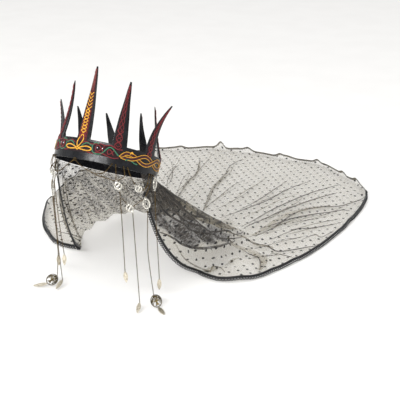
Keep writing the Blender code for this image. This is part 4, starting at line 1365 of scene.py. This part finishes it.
@lru_cache(maxsize=None)
def unrolled():
    """The flat places of each column's top and foot, as the part that hangs is laid out flat."""
    tops = [veil_seam(c / VEIL_COLUMNS) for c in range(VEIL_COLUMNS + 1)]
    feet = [place_on_floor(VEIL_FOOT, c / VEIL_COLUMNS) for c in range(VEIL_COLUMNS + 1)]
    flat = [(Vector((0, 0)), Vector((0, -(feet[0] - tops[0]).length)))]
    for c in range(VEIL_COLUMNS):
        top, foot = flat[-1]
        from_top = (tops[c + 1] - tops[c]).length
        new_top = third_corner(top, foot, from_top, (tops[c + 1] - feet[c]).length, 1)
        from_foot = (feet[c + 1] - feet[c]).length
        new_foot = third_corner(foot, new_top, from_foot, (feet[c + 1] - tops[c + 1]).length, -1)
        flat.append((new_top, new_foot))
    return flat


def cloth_spot(along, down, hangs):
    """The flat cloth's own place here: the floor's plan, or the part that hangs laid out flat."""
    if not hangs:
        place = veil_base(along, down)
        return place.x, place.y
    top, foot = unrolled()[round(along * VEIL_COLUMNS)]
    return tuple(top.lerp(foot, down / VEIL_HANG_SHARE))


def add_pleat(bm, layers, pleat):
    """Lay a doubled fold of the cloth along its way over the veil, tapering out at its ends."""
    uv, crowd = layers
    way = smooth_run(pleat.way, max(2, PLEAT_STEPS // len(pleat.way)))
    places = [veil_point(min(max(p.x, 0), 1), min(max(p.y, 0.005), 1)) for p in way]
    rows = len(places) - 1
    cut = {}
    for vert, share, up in add_grid(bm, rows, 4):
        index = round(share * rows)
        across = 2 * up - 1
        tangent = (places[min(index + 1, rows)] - places[max(index - 1, 0)]).normalized()
        normal = veil_normal(way[index].x, way[index].y)
        side = tangent.cross(normal).normalized()
        width = pleat.width * MM * math.sin(math.pi * blend(*PLEAT_TAPERS, index / rows)) ** 0.5
        rise = (PLEAT_CLEAR + PLEAT_RISE * (1 - across * across)) * min(width / PLEAT_FULL_RISE, 1.0)
        vert.co = places[index] + side * (across * width / 2) + normal * rise
        vert[crowd] = pleat.crowd
        # The doubled layer's net and dots fall beside those of the cloth under it
        cut[vert] = (vert.co.x * 0.97 + 0.011, vert.co.y * 1.02 + vert.co.z + 0.007)
    lay_pattern(faces_at(cut), uv, cut)


def lay_pleats(bm, layers):
    """The veil's large folds, and many fine wrinkles that run out toward its rim."""
    for pleat in PLEATS:
        add_pleat(bm, layers, pleat)
    dice = random.Random(5)
    for _ in range(WRINKLES):
        along = dice.uniform(*WRINKLE_ALONG)
        start = dice.uniform(*WRINKLE_STARTS)
        length = dice.uniform(*WRINKLE_LENGTHS)
        drift = dice.uniform(-WRINKLE_DRIFT, WRINKLE_DRIFT)
        way = []
        for s in WRINKLE_WAY:
            aside = drift * s + dice.uniform(-WRINKLE_WANDER, WRINKLE_WANDER)
            way.append((along + aside, min(start + length * s, 0.97)))
        width = dice.uniform(*WRINKLE_WIDTHS)
        add_pleat(bm, layers, Pleat(width, dice.uniform(*WRINKLE_CROWDS), way))


def crowd_cloth(grid, crowd):
    """Store how crowded the cloth is everywhere, and give its flat width, length and area."""
    area = 0.0
    widest = 0.0
    falls = [0.0] * (VEIL_COLUMNS + 1)
    for row in range(VEIL_ROWS + 1):
        share = row / VEIL_ROWS
        line = [grid[column, row] for column in range(VEIL_COLUMNS + 1)]
        surplus = blend(SEAM_SURPLUS, 1.0, ease(0.0, SURPLUS_DIES, share))
        flat_width = surplus * sum((b.co - a.co).length for a, b in zip(line, line[1:]))
        widest = max(widest, flat_width)
        fallen = 0.0
        for column, vert in enumerate(line):
            near = max(column - 2, 0), min(column + 2, VEIL_COLUMNS)
            left, right = (veil_base(c / VEIL_COLUMNS, share) for c in near)
            seen = (right - left).length / (near[1] - near[0])
            gathered = max(flat_width / VEIL_COLUMNS / seen, 1.0)
            # The bunched zone raises the crowd, partly as gathered cloth and partly as painted shade
            vert[crowd] = gathered + BUNCH_AND_SHADE_WEIGHT * bunching_and_painted_shade(column / VEIL_COLUMNS, share)
            if row:
                step = (vert.co - grid[column, row - 1].co).length
                falls[column] += step
                fallen += step / (VEIL_COLUMNS + 1)
        area += flat_width * fallen
    return widest, max(falls), area


class HEADDRESS_OT_veil(bpy.types.Operator):
    """Gather the dotted tulle under the band and lay it out behind"""

    bl_idname = "headdress.veil"
    bl_label = "Dotted veil"

    def execute(self, context):
        bm = bmesh.new()
        crowd = bm.verts.layers.float.new("crowd")
        uv = bm.loops.layers.uv.new("cloth")
        grid = {}
        for vert, across, up in add_grid(bm, VEIL_COLUMNS, VEIL_ROWS):
            column, row = round(across * VEIL_COLUMNS), round(up * VEIL_ROWS)
            grid[column, row] = vert
            vert.co = veil_point(column / VEIL_COLUMNS, row / VEIL_ROWS)
        widest, longest, area = crowd_cloth(grid, crowd)
        spot = {vert: (c / VEIL_COLUMNS, r / VEIL_ROWS) for (c, r), vert in grid.items()}
        for face in bm.faces:
            hangs = min(spot[vert][1] for vert in face.verts) < VEIL_HANG_SHARE
            for loop in face.loops:
                loop[uv].uv = cloth_spot(*spot[loop.vert], hangs)
        bmesh.ops.recalc_face_normals(bm, faces=bm.faces)
        lying = [face for face in bm.faces if min(v.co.z for v in face.verts) < LYING_HEIGHT + 5 * MM]
        if sum(face.normal.z for face in lying) < 0:
            bmesh.ops.reverse_faces(bm, faces=bm.faces)
        lay_pleats(bm, (uv, crowd))
        veil = finish_piece(bm, "veil_tulle", ("tulle",), ("veil",), sharp=180.0)
        make_trim(context.scene.headdress_sizes)
        return {"FINISHED"}


def free_edge(along_edge):
    """The veil's own (along, down) at this share of its free edge, temple to temple."""
    side = EDGING_SIDE_SHARE
    if along_edge < side:
        return 0.0, blend(EDGING_START, 1.0, along_edge / side)
    if along_edge > 1 - side:
        return 1.0, blend(EDGING_START, 1.0, (1 - along_edge) / side)
    return (along_edge - side) / (1 - 2 * side), 1.0


def trim_stations():
    """Places along the free edge, each with its tangent and the way its ribbon slopes outward."""
    stations = []
    for index in range(RIBBON_STATIONS + 1):
        station = free_edge(index / RIBBON_STATIONS)
        stations.append((veil_point(*station), veil_normal(*station), rim_lift(*station)))
    smoothed = []
    for index, (place, _, lift) in enumerate(stations):
        near = stations[max(index - TRIM_TURN, 0) : index + TRIM_TURN + 1]
        normal = sum((station[1] for station in near), Vector()).normalized()
        ahead = stations[min(index + TRIM_SMOOTH, RIBBON_STATIONS)][0]
        behind = stations[max(index - TRIM_SMOOTH, 0)][0]
        tangent = (ahead - behind).normalized()
        outward = tangent.cross(normal).normalized()
        slope = (outward - UP * RIBBON_SLOPE * lift).normalized()
        smoothed.append((place, tangent, slope))
    return smoothed


def add_picots(bm, stations, lengths, sizes):
    """Small loops of thread that stand out all along the ribbon's outer edge."""
    total = lengths[-1]
    count = round(total / sizes.picot_pitch)
    index = 0
    for number in range(1, count):
        target = total * number / count
        while lengths[index + 1] < target:
            index += 1
        share = (target - lengths[index]) / (lengths[index + 1] - lengths[index])
        place = stations[index][0].lerp(stations[index + 1][0], share)
        _, tangent, slope = stations[index]
        start = place + slope * (RIBBON_GAP + sizes.ribbon_width * PICOT_ROOT)
        arc = []
        for step in range(PICOT_STEPS):
            turn = math.pi * step / (PICOT_STEPS - 1)
            reach = sizes.picot_reach * math.sin(turn)
            half = sizes.picot_pitch * PICOT_HALF_WIDTH
            arc.append(start + slope * reach + tangent * (math.cos(turn) * half))
        up = [slope.cross(tangent)] * PICOT_STEPS
        add_strand(bm, arc, up, PICOT_WIRE, PICOT_WIRE * 0.8, sides=PICOT_SIDES)


def make_trim(sizes):
    """The satin ribbon along the veil's free edge, and the picot loops that stand out from it."""
    stations = trim_stations()
    bm = bmesh.new()
    uv = bm.loops.layers.uv.verify()
    lengths = [0.0]
    for one, other in zip(stations, stations[1:]):
        lengths.append(lengths[-1] + (other[0] - one[0]).length)
    spots = {}
    for vert, along, share in add_grid(bm, RIBBON_STATIONS, 2):
        index = round(along * RIBBON_STATIONS)
        place, _, slope = stations[index]
        spots[vert] = (lengths[index], share * sizes.ribbon_width)
        vert.co = place + slope * (RIBBON_GAP + share * sizes.ribbon_width)
    lay_pattern(bm.faces, uv, spots)
    ribbon = finish_piece(bm, "veil_ribbon", ("ribbon",), ("veil_edging",), weld=True)
    wall = ribbon.modifiers.new("Wall", "SOLIDIFY")
    wall.thickness = RIBBON_WALL
    wall.offset = 0.0
    loops = bmesh.new()
    add_picots(loops, stations, lengths, sizes)
    picots = finish_piece(loops, "veil_picots", ("ribbon",), weld=True)
    return [ribbon, picots]


def mirrored(point, side):
    """A place given for the wearer's left, on the side asked for."""
    return Vector((point[0] * side, point[1], point[2]))


def charm_frame(charm, side):
    """Matrix of a charm: its face looks along Z, and its loops lie on Y above and below it."""
    facing = math.radians(charm.facing) * side
    normal = Vector((math.sin(facing), -math.cos(facing), 0.0))
    up = Matrix.Rotation(math.radians(charm.roll) * side, 3, normal) @ Vector((0, 0, 1))
    turn = Matrix((up.cross(normal), up, normal)).transposed()
    tuck = charm.tuck if side < 0 else 0
    center = mirrored((charm.x - tuck, charm.y + TUCK_BACK * tuck, charm.z), side) * MM
    return Matrix.Translation(center) @ turn.to_4x4()


def charm_loop(number, side, end):
    """The centre of a charm's upper (end 1) or lower (end -1) loop."""
    charm = CHARMS[number - 1]
    arm = charm.height * MM / 2 + LOOP_RADIUS / 2
    return charm_frame(charm, side) @ Vector((0.0, arm * end, 0.0))


def hanging_frame(top, bottom, facing):
    """Matrix of a flat pendant at the middle of top and bottom, its face turned toward facing."""
    up = (top - bottom).normalized()
    normal = (facing - up * facing.dot(up)).normalized()
    turn = Matrix((up.cross(normal), up, normal)).transposed()
    return Matrix.Translation((top + bottom) / 2) @ turn.to_4x4()


def add_flat_wire(bm, points, width, height, closed=False, sides=6, level=0.0):
    """A rounded wire through flat points in metres, lying in the plane of the piece's face."""
    places = [Vector((point[0], point[1], level)) for point in points]
    add_strand(bm, places, [UP] * len(places), width, height, 0, closed, sides)


def oval(half_width, half_height, count=28, center=(0.0, 0.0)):
    """Points round an oval."""
    turns = [math.tau * i / count for i in range(count)]
    return [(center[0] + half_width * math.sin(t), center[1] + half_height * math.cos(t)) for t in turns]


def cast_charm(charm, side):
    """Model a thick-rimmed oval with two eye-shaped slits, or a plainer one with inner rings."""
    bm = bmesh.new()
    half_width = charm.width * MM / 2
    half_height = charm.height * MM / 2
    rim_line = oval(half_width - CHARM_RIM / 2, half_height - CHARM_RIM / 2)
    add_flat_wire(bm, rim_line, CHARM_RIM, CHARM_WALL, True, 8)
    if charm.number < 4:
        bar = smooth_run([(half_width * x, half_height * y) for x, y in CHARM_BAR_WAY], 5)
        add_flat_wire(bm, bar, CHARM_BAR, CHARM_WALL * 0.95, False, 8)
        lean = Matrix.Rotation(EYE_LEAN, 2)
        for end in (-1, 1):
            shift = Vector((EYE_SHIFT[0] * half_width, EYE_SHIFT[1] * half_height)) * end
            eye = oval(half_width * EYE_SIZE[0], half_height * EYE_SIZE[1], 18)
            eye = [lean @ Vector(p) + shift for p in eye]
            add_flat_wire(bm, eye, EYE_WIRE, CHARM_WALL * 0.85, True, 6)
    else:
        for share in INNER_RINGS:
            ring = oval(half_width * share, half_height * share, 22)
            add_flat_wire(bm, ring, CHARM_WIRE, CHARM_WALL * 0.85, True, 6)
        for end in (1, -1):
            post = [(0.0, end * half_height * s) for s in TALL_POST]
            add_flat_wire(bm, post, CHARM_WIRE * 1.1, CHARM_WALL * 0.8, False, 6)
            post = [(end * half_width * s, 0.0) for s in WIDE_POST]
            add_flat_wire(bm, post, CHARM_WIRE, CHARM_WALL * 0.8, False, 6)
    for end in (1, -1):
        middle = end * (half_height + LOOP_RADIUS / 2)
        bend = LOOP_RADIUS - CHARM_LOOP_WIRE / 2
        ring = oval(bend, bend, 16, center=(0.0, middle))
        add_flat_wire(bm, ring, CHARM_LOOP_WIRE, CHARM_WALL * 0.7, True, 6)
    bmesh.ops.transform(bm, matrix=charm_frame(charm, side), verts=bm.verts)
    name = f"charm_{charm.number}_{SIDES[side]}"
    finish_piece(bm, f"{name}_cast", ("silver",), (name,), weld=True)


class HEADDRESS_OT_charms(bpy.types.Operator):
    """Cast the small openwork charms of both sides"""

    bl_idname = "headdress.charms"
    bl_label = "Openwork charms"

    def execute(self, context):
        for side in SIDES:
            for charm in CHARMS:
                cast_charm(charm, side)
        return {"FINISHED"}


def grow_branch(bm, start, heading, length, thickness, depth, dice, leaves):
    """Grow one bough of the tree within its rim, and the boughs that fork from it."""
    end = start + Vector((math.sin(heading), math.cos(heading))) * length
    bend = Vector((math.cos(heading), -math.sin(heading))) * length * dice.uniform(-BOUGH_BEND, BOUGH_BEND)
    run = smooth_run((start, (start + end) / 2 + bend, end), 3)
    add_flat_wire(bm, run, thickness, MEDALLION_WALL * 0.62, False, 5)
    if depth < 2:
        leaves.append(end)
    if depth == 0 or end.length > MEDALLION_RADIUS * CANOPY_GROWS:
        return
    for side in (-1, 1):
        turn = heading + side * dice.uniform(*FORK_TURN)
        reach = length * dice.uniform(*FORK_SHORTENS)
        grow_branch(bm, end, turn, reach, thickness * FORK_THINS, depth - 1, dice, leaves)


def cast_medallion(pendant):
    """A round rim with a tree of life in it: two roots, a flared trunk and a leafy canopy."""
    bm = bmesh.new()
    dice = random.Random(11)
    bend = MEDALLION_RADIUS - MEDALLION_RIM / 2
    add_flat_wire(bm, oval(bend, bend, 40), MEDALLION_RIM, MEDALLION_WALL, True, 8)
    bend = MEDALLION_RADIUS - MEDALLION_RIM * 1.15
    add_flat_wire(bm, oval(bend, bend, 40), MEDALLION_BEAD, MEDALLION_WALL * 0.8, True, 5)
    for shift in (-1.0, 0.0, 1.0):
        low = TREE_FOOT + Vector((shift * TRUNK_FOOT_SPREAD, -2.2)) * MM
        middle = Vector((shift * TRUNK_WAIST_SPREAD, -2.6)) * MM
        high = TREE_CROTCH + Vector((shift * TRUNK_TOP_SPREAD, 0.6)) * MM
        run = smooth_run((low, middle, high), 4)
        add_flat_wire(bm, run, TRUNK_WIRE, MEDALLION_WALL * 0.9, False, 6)
    for turn in ROOT_TURNS:
        heading = math.pi + math.radians(turn)
        tip = Vector((math.sin(heading), math.cos(heading))) * (MEDALLION_RADIUS - MEDALLION_RIM)
        start = TREE_FOOT + Vector((math.sin(math.radians(-turn)) * 0.8 * MM, 0))
        middle = start.lerp(tip, 0.45) + Vector((math.copysign(0.5 * MM, tip.x), 0.5 * MM))
        run = smooth_run((start, middle, tip), 4)
        add_flat_wire(bm, run, ROOT_WIRE, MEDALLION_WALL * 0.7, False, 5)
    leaves = []
    for turn in BOUGH_TURNS:
        grow_branch(bm, TREE_CROTCH, math.radians(turn), BOUGH_LENGTH, BOUGH_WIRE, 3, dice, leaves)
    edge = MEDALLION_RADIUS * CANOPY_REACH
    for place in leaves:
        spot = place if place.length < edge else place.normalized() * edge
        add_bead(bm, CANOPY_LEAF, (spot.x, spot.y, 0), subdivisions=1, stretch=(1, 1.3, 0.9))
    place = hanging_frame(Vector(pendant.top) * MM, Vector(pendant.bottom) * MM, TOWARD_FRONT_LEFT)
    place = place @ Matrix.Diagonal(MEDALLION_DRAWN_OUT)
    bmesh.ops.transform(bm, matrix=place, verts=bm.verts)
    finish_piece(bm, f"{pendant.name}_cast", ("dark_bronze",), (pendant.name,), weld=True)


def cast_leaf(leaf):
    """A slender leaf with a keeled rib, slanting side veins and a small ring at its stem."""
    top = Vector(leaf.top) * MM
    tip = Vector(leaf.tip) * MM
    long = (top - tip).length
    bm = bmesh.new()
    uv = bm.loops.layers.uv.verify()
    tone = {}
    for vert, beside, up in add_grid(bm, LEAF_COLUMNS, LEAF_ROWS):
        share = 1 - up
        across = 2 * beside - 1
        width = math.sin(math.pi * blend(*LEAF_POINTED, share**LEAF_BELLY)) ** LEAF_FULLNESS
        slant = math.sin(math.tau * (share * LEAF_VEINS + abs(across) * LEAF_VEIN_SLANT))
        ridge = slant * min(abs(across) * 3, 1)
        tone[vert] = (0.0, 0.25 * blend(0.35, 1.0, (1 + ridge) / 2))
        keel = LEAF_RIDGE * (1 - abs(across)) ** 1.5
        rise = (keel + LEAF_VEIN_RISE * ridge) * width
        vert.co = Vector((across * LEAF_WIDTH / 2 * width, (up - 0.5) * long, rise))
    lay_pattern(bm.faces, uv, tone)
    bmesh.ops.solidify(bm, geom=bm.faces[:], thickness=LEAF_WALL * 0.8)
    if "leaf_3" in leaf.name:
        add_bead(bm, BEAD_RADIUS, (0, long / 2 - 1.2 * MM, 0.3 * MM))
    ring = oval(1.0 * MM, 1.2 * MM, 12, center=(0.0, long / 2 - 0.4 * MM))
    add_flat_wire(bm, ring, LEAF_RING_WIRE, 0.6 * MM, True, 5, level=0.2 * MM)
    facing = UP.lerp(TOWARD_FRONT_LEFT, LEAF_TIPPED) if leaf.lies else TOWARD_FRONT_LEFT
    bmesh.ops.transform(bm, matrix=hanging_frame(top, tip, facing), verts=bm.verts)
    finish_piece(bm, f"{leaf.name}_cast", ("pewter",), (leaf.name,), sharp=60, weld=True)


class HEADDRESS_OT_pendants(bpy.types.Operator):
    """Cast the tree medallions and the leaf drops"""

    bl_idname = "headdress.pendants"
    bl_label = "Medallions and leaves"

    def execute(self, context):
        for pendant in MEDALLIONS:
            cast_medallion(pendant)
        for leaf in LEAVES:
            cast_leaf(leaf)
        return {"FINISHED"}


@lru_cache(maxsize=None)
def link_mesh(length, width, wire, around, sides):
    """One oval link: a ring spun from its wire's section and drawn out to its length."""
    bm = bmesh.new()
    bend = (width - wire) / 2
    ring = bmesh.ops.create_circle(bm, segments=sides, radius=wire / 2)["verts"]
    bmesh.ops.rotate(bm, verts=ring, cent=(0, 0, 0), matrix=Matrix.Rotation(math.pi / 2, 3, "X"))
    bmesh.ops.translate(bm, verts=ring, vec=(bend, 0, 0))
    section = bm.verts[:] + bm.edges[:]
    axis = {"cent": (0, 0, 0), "axis": (0, 0, 1)}
    bmesh.ops.spin(bm, geom=section, **axis, angle=math.tau, steps=around, use_merge=True)
    bmesh.ops.remove_doubles(bm, verts=bm.verts, dist=0.001 * MM)
    stretch = (length - width) / 2
    for vert in bm.verts:
        if abs(vert.co.y) > 0.01 * MM:
            vert.co.y += math.copysign(stretch, vert.co.y) * min(abs(vert.co.y) / bend * 1.5, 1.0)
    bmesh.ops.recalc_face_normals(bm, faces=bm.faces)
    mesh = bpy.data.meshes.new("link_pattern")
    bm.to_mesh(mesh)
    bm.free()
    return mesh


def add_copy(bm, mesh, matrix):
    """Add one placed copy of a small pattern mesh."""
    first = len(bm.verts)
    bm.from_mesh(mesh)
    bm.verts.ensure_lookup_table()
    bmesh.ops.transform(bm, matrix=matrix, verts=bm.verts[first:])


def along_frame(place, tangent, turn):
    """Matrix at a place whose Y runs along the tangent, turned about it by this angle."""
    side = tangent.orthogonal() if abs(tangent.z) > 0.98 else tangent.cross(UP)
    side = side.normalized()
    face = side.cross(tangent)
    spun_side = side * math.cos(turn) + face * math.sin(turn)
    spun_face = spun_side.cross(tangent)
    basis = Matrix((spun_side, tangent, spun_face)).transposed()
    return Matrix.Translation(place) @ basis.to_4x4()


def link_chain(name, places, sizes, short_start=0.0, short_end=0.0, bails=(), bead_at=None):
    """Interlocking oval links along the smooth route that the chain's solid follows."""
    fine = [smooth_place(places, share / CHAIN_SAMPLES) for share in range(CHAIN_SAMPLES + 1)]
    kept = [p for p in fine if (p - places[0]).length >= short_start]
    kept = [p for p in kept if (p - places[-1]).length >= short_end]
    length = sum((b - a).length for a, b in zip(kept, kept[1:]))
    pitch = sizes.link_length - 2 * sizes.link_wire
    count = max(2, round(length / pitch))
    dice = random.Random(name)
    stretch = length / count / pitch
    link = link_mesh(round(sizes.link_length * stretch, 6), sizes.link_width, sizes.link_wire, 10, 5)
    bm = bmesh.new()
    spots = [smooth_place(kept, i / count) for i in range(count + 1)]
    for index, spot in enumerate(spots):
        ahead = spots[min(index + 1, count)]
        behind = spots[max(index - 1, 0)]
        turn = math.pi / 4 + math.pi / 2 * (index % 2) + dice.uniform(-LINK_TURN_PLAY, LINK_TURN_PLAY)
        add_copy(bm, link, along_frame(spot, (ahead - behind).normalized(), turn))
    for bail in bails:
        ring = link_mesh(BAIL_LENGTH, BAIL_WIDTH, BAIL_WIRE, 12, 6)
        add_copy(bm, ring, Matrix.Translation(bail) @ Matrix.Rotation(math.pi / 2, 4, "Y"))
    if bead_at is not None:
        add_bead(bm, BEAD_RADIUS, smooth_place(kept, bead_at))
    finish_piece(bm, f"{name}_links", ("bronze",), (name,), sharp=80)


def band_seat(name, side):
    """Where a chain meets the band's outer face, just above its lower rim."""
    angle = math.radians(BAND_SEATS[name]) * side
    return band_point(angle, CHAIN_SEAT_HEIGHT, BAND_RADIUS + BAND_STAND_OFF)


def charm_edge(number, side):
    """A place just clear of a charm's outer side, toward the back of the head."""
    charm = CHARMS[number - 1]
    reach = charm.width * MM / 2 + 2 * GAP
    return charm_frame(charm, side) @ Vector((reach * side, 0.0, 0.0))


def link_chains(side, sizes):
    """All the chains on one side of the face."""
    suffix = SIDES[side]
    routes = ROUTES[suffix]

    def chain(name, start, end, **settings):
        middle = [Vector(place) * MM for place in routes.get(name, ())]
        if name in BAND_SEATS:
            settings["bails"] = (band_seat(name, side),) if (side > 0 or name != "upper_swag") else ()
        link_chain(f"{name}_{suffix}", [start, *middle, end], sizes, **settings)

    loops = {(n, end): charm_loop(n, side, end) for n in (1, 2, 3, 4, 5) for end in (1, -1)}
    seats = {name: band_seat(name, side) for name in BAND_SEATS}
    fork = loops[1, -1] + FORK_DROP
    at_loop = LOOP_REACH
    if side > 0:
        chain("upper_swag", HOOK_CENTER, seats["upper_swag"], short_start=HOOK_REACH)
        branch = Vector(routes["upper_swag"][2]) * MM - Vector((0, 0, BRANCH_DROP))
        chain("lower_swag", branch, loops[1, 1], short_end=at_loop)
    else:
        chain("upper_swag", HOOK_CENTER, loops[1, 1], short_start=HOOK_REACH, short_end=at_loop)
    chain("side_swag", loops[1, 1], seats["side_swag"], short_start=at_loop)
    chain("band_link_1", seats["band_link_1"], loops[1, 1], short_end=at_loop)
    chain("band_link_2", seats["band_link_2"], loops[2, 1], short_end=at_loop)
    chain("band_link_3", loops[2, -1], seats["band_link_3"], short_start=at_loop, bead_at=0.45)
    chain("band_link_4", loops[4, 1], seats["band_link_4"], short_start=at_loop)
    chain("band_link_5", seats["band_link_5"], loops[5, 1], short_end=at_loop)
    chain("charm_link_1", fork, loops[3, 1], short_start=FORK_REACH, short_end=at_loop)
    chain("charm_link_2", charm_edge(3, side), loops[4, 1], short_end=at_loop)
    for number in (1, 3, 4, 5):
        name = f"drop_{number}"
        end = Vector(DROP_ENDS[suffix][number]) * MM
        chain(name, loops[number, -1], end, short_start=at_loop)


class HEADDRESS_OT_chains(bpy.types.Operator):
    """Link every swag and drop chain, and hang the middle hook"""

    bl_idname = "headdress.chains"
    bl_label = "Chains"

    def execute(self, context):
        sizes = context.scene.headdress_sizes
        for side in SIDES:
            link_chains(side, sizes)
        hook = bmesh.new()
        across = 2 * (HOOK_RADIUS + HOOK_WIRE)
        ring = link_mesh(across, across, 2 * HOOK_WIRE, 20, 8)
        place = Matrix.Translation(HOOK_CENTER) @ Matrix.Rotation(math.pi / 2, 4, "X")
        add_copy(hook, ring, place)
        finish_piece(hook, "center_hook_ring", ("bronze",), ("center_hook",), sharp=80)
        return {"FINISHED"}


class HEADDRESS_OT_stage(bpy.types.Operator):
    """Lay the pale floor, hang the soft lights and set the camera"""

    bl_idname = "headdress.stage"
    bl_label = "Studio"

    def execute(self, context):
        scene = context.scene
        bm = bmesh.new()
        bmesh.ops.create_grid(bm, x_segments=1, y_segments=1, size=FLOOR_SIZE / 2)
        bmesh.ops.translate(bm, verts=bm.verts, vec=(0, 0, FLOOR_HEIGHT))
        mesh = bpy.data.meshes.new("studio_floor")
        bm.to_mesh(mesh)
        bm.free()
        mesh.materials.append(shared_materials()["paper"])
        floor = bpy.data.objects.new("studio_floor", mesh)
        scene.collection.objects.link(floor)
        world = bpy.data.worlds.new("studio_air")
        scene.world = world
        world.use_nodes = True
        sky = world.node_tree.nodes["Background"]
        sky.inputs["Color"].default_value = (*linear("#ffffff"), 1.0)
        sky.inputs["Strength"].default_value = WORLD_LIGHT
        for light in LIGHTS:
            data = bpy.data.lights.new(light.name, "AREA")
            data.shape = "RECTANGLE"
            data.size, data.size_y = light.size
            data.energy = light.power
            lamp = bpy.data.objects.new(light.name, data)
            lamp.location = Vector(light.place)
            lamp.rotation_euler = Vector(light.place).to_track_quat("Z", "Y").to_euler()
            scene.collection.objects.link(lamp)
        self.set_camera(scene)
        scene.view_settings.view_transform = "Standard"
        return {"FINISHED"}

    def set_camera(self, scene):
        """Place the camera so that the band's lower middle is seen where the picture has it."""
        turn = VIEW_AZIMUTH
        level = math.cos(VIEW_ELEVATION)
        back = Vector((math.sin(turn) * level, -math.cos(turn) * level, math.sin(VIEW_ELEVATION)))
        right = Vector((math.cos(turn), math.sin(turn), 0.0))
        up = back.cross(right)
        aside = (ORIGIN_SEEN_AT[0] - PICTURE / 2) * PIXEL_AT_ORIGIN
        above = (PICTURE / 2 - ORIGIN_SEEN_AT[1]) * PIXEL_AT_ORIGIN
        data = bpy.data.cameras.new("picture_camera")
        data.sensor_width = SENSOR_WIDTH
        data.lens = VIEW_DISTANCE / (PIXEL_AT_ORIGIN * PICTURE) * SENSOR_WIDTH
        camera = bpy.data.objects.new("picture_camera", data)
        place = Matrix.Translation(back * VIEW_DISTANCE - right * aside - up * above)
        camera.matrix_world = place @ Matrix((right, up, back)).transposed().to_4x4()
        scene.collection.objects.link(camera)
        scene.camera = camera


class HEADDRESS_PT_panel(bpy.types.Panel):
    """List the headdress's pieces in the sidebar"""

    bl_idname = "HEADDRESS_PT_panel"
    bl_label = "Headdress"
    bl_space_type = "VIEW_3D"
    bl_region_type = "UI"
    bl_category = "Headdress"

    def draw(self, context):
        layout = self.layout
        for operator in OPERATORS:
            layout.operator(operator.bl_idname)
        for group in (context.scene.headdress_sizes, context.scene.headdress_colors):
            box = layout.box()
            for name in group.__annotations__:
                box.prop(group, name)


OPERATORS = (
    HEADDRESS_OT_stage,
    HEADDRESS_OT_crown,
    HEADDRESS_OT_embroidery,
    HEADDRESS_OT_veil,
    HEADDRESS_OT_chains,
    HEADDRESS_OT_charms,
    HEADDRESS_OT_pendants,
)
CLASSES = (HeaddressSizes, HeaddressColors, *OPERATORS, HEADDRESS_PT_panel)


def register():
    for cls in CLASSES:
        bpy.utils.register_class(cls)
    bpy.types.Scene.headdress_sizes = bpy.props.PointerProperty(type=HeaddressSizes)
    bpy.types.Scene.headdress_colors = bpy.props.PointerProperty(type=HeaddressColors)


def unregister():
    del bpy.types.Scene.headdress_colors
    del bpy.types.Scene.headdress_sizes
    for cls in reversed(CLASSES):
        bpy.utils.unregister_class(cls)


def main():
    register()
    bpy.ops.headdress.stage()
    bpy.ops.headdress.crown()
    bpy.ops.headdress.embroidery()
    bpy.ops.headdress.veil()
    bpy.ops.headdress.chains()
    bpy.ops.headdress.charms()
    bpy.ops.headdress.pendants()


if __name__ == "__main__":
    main()
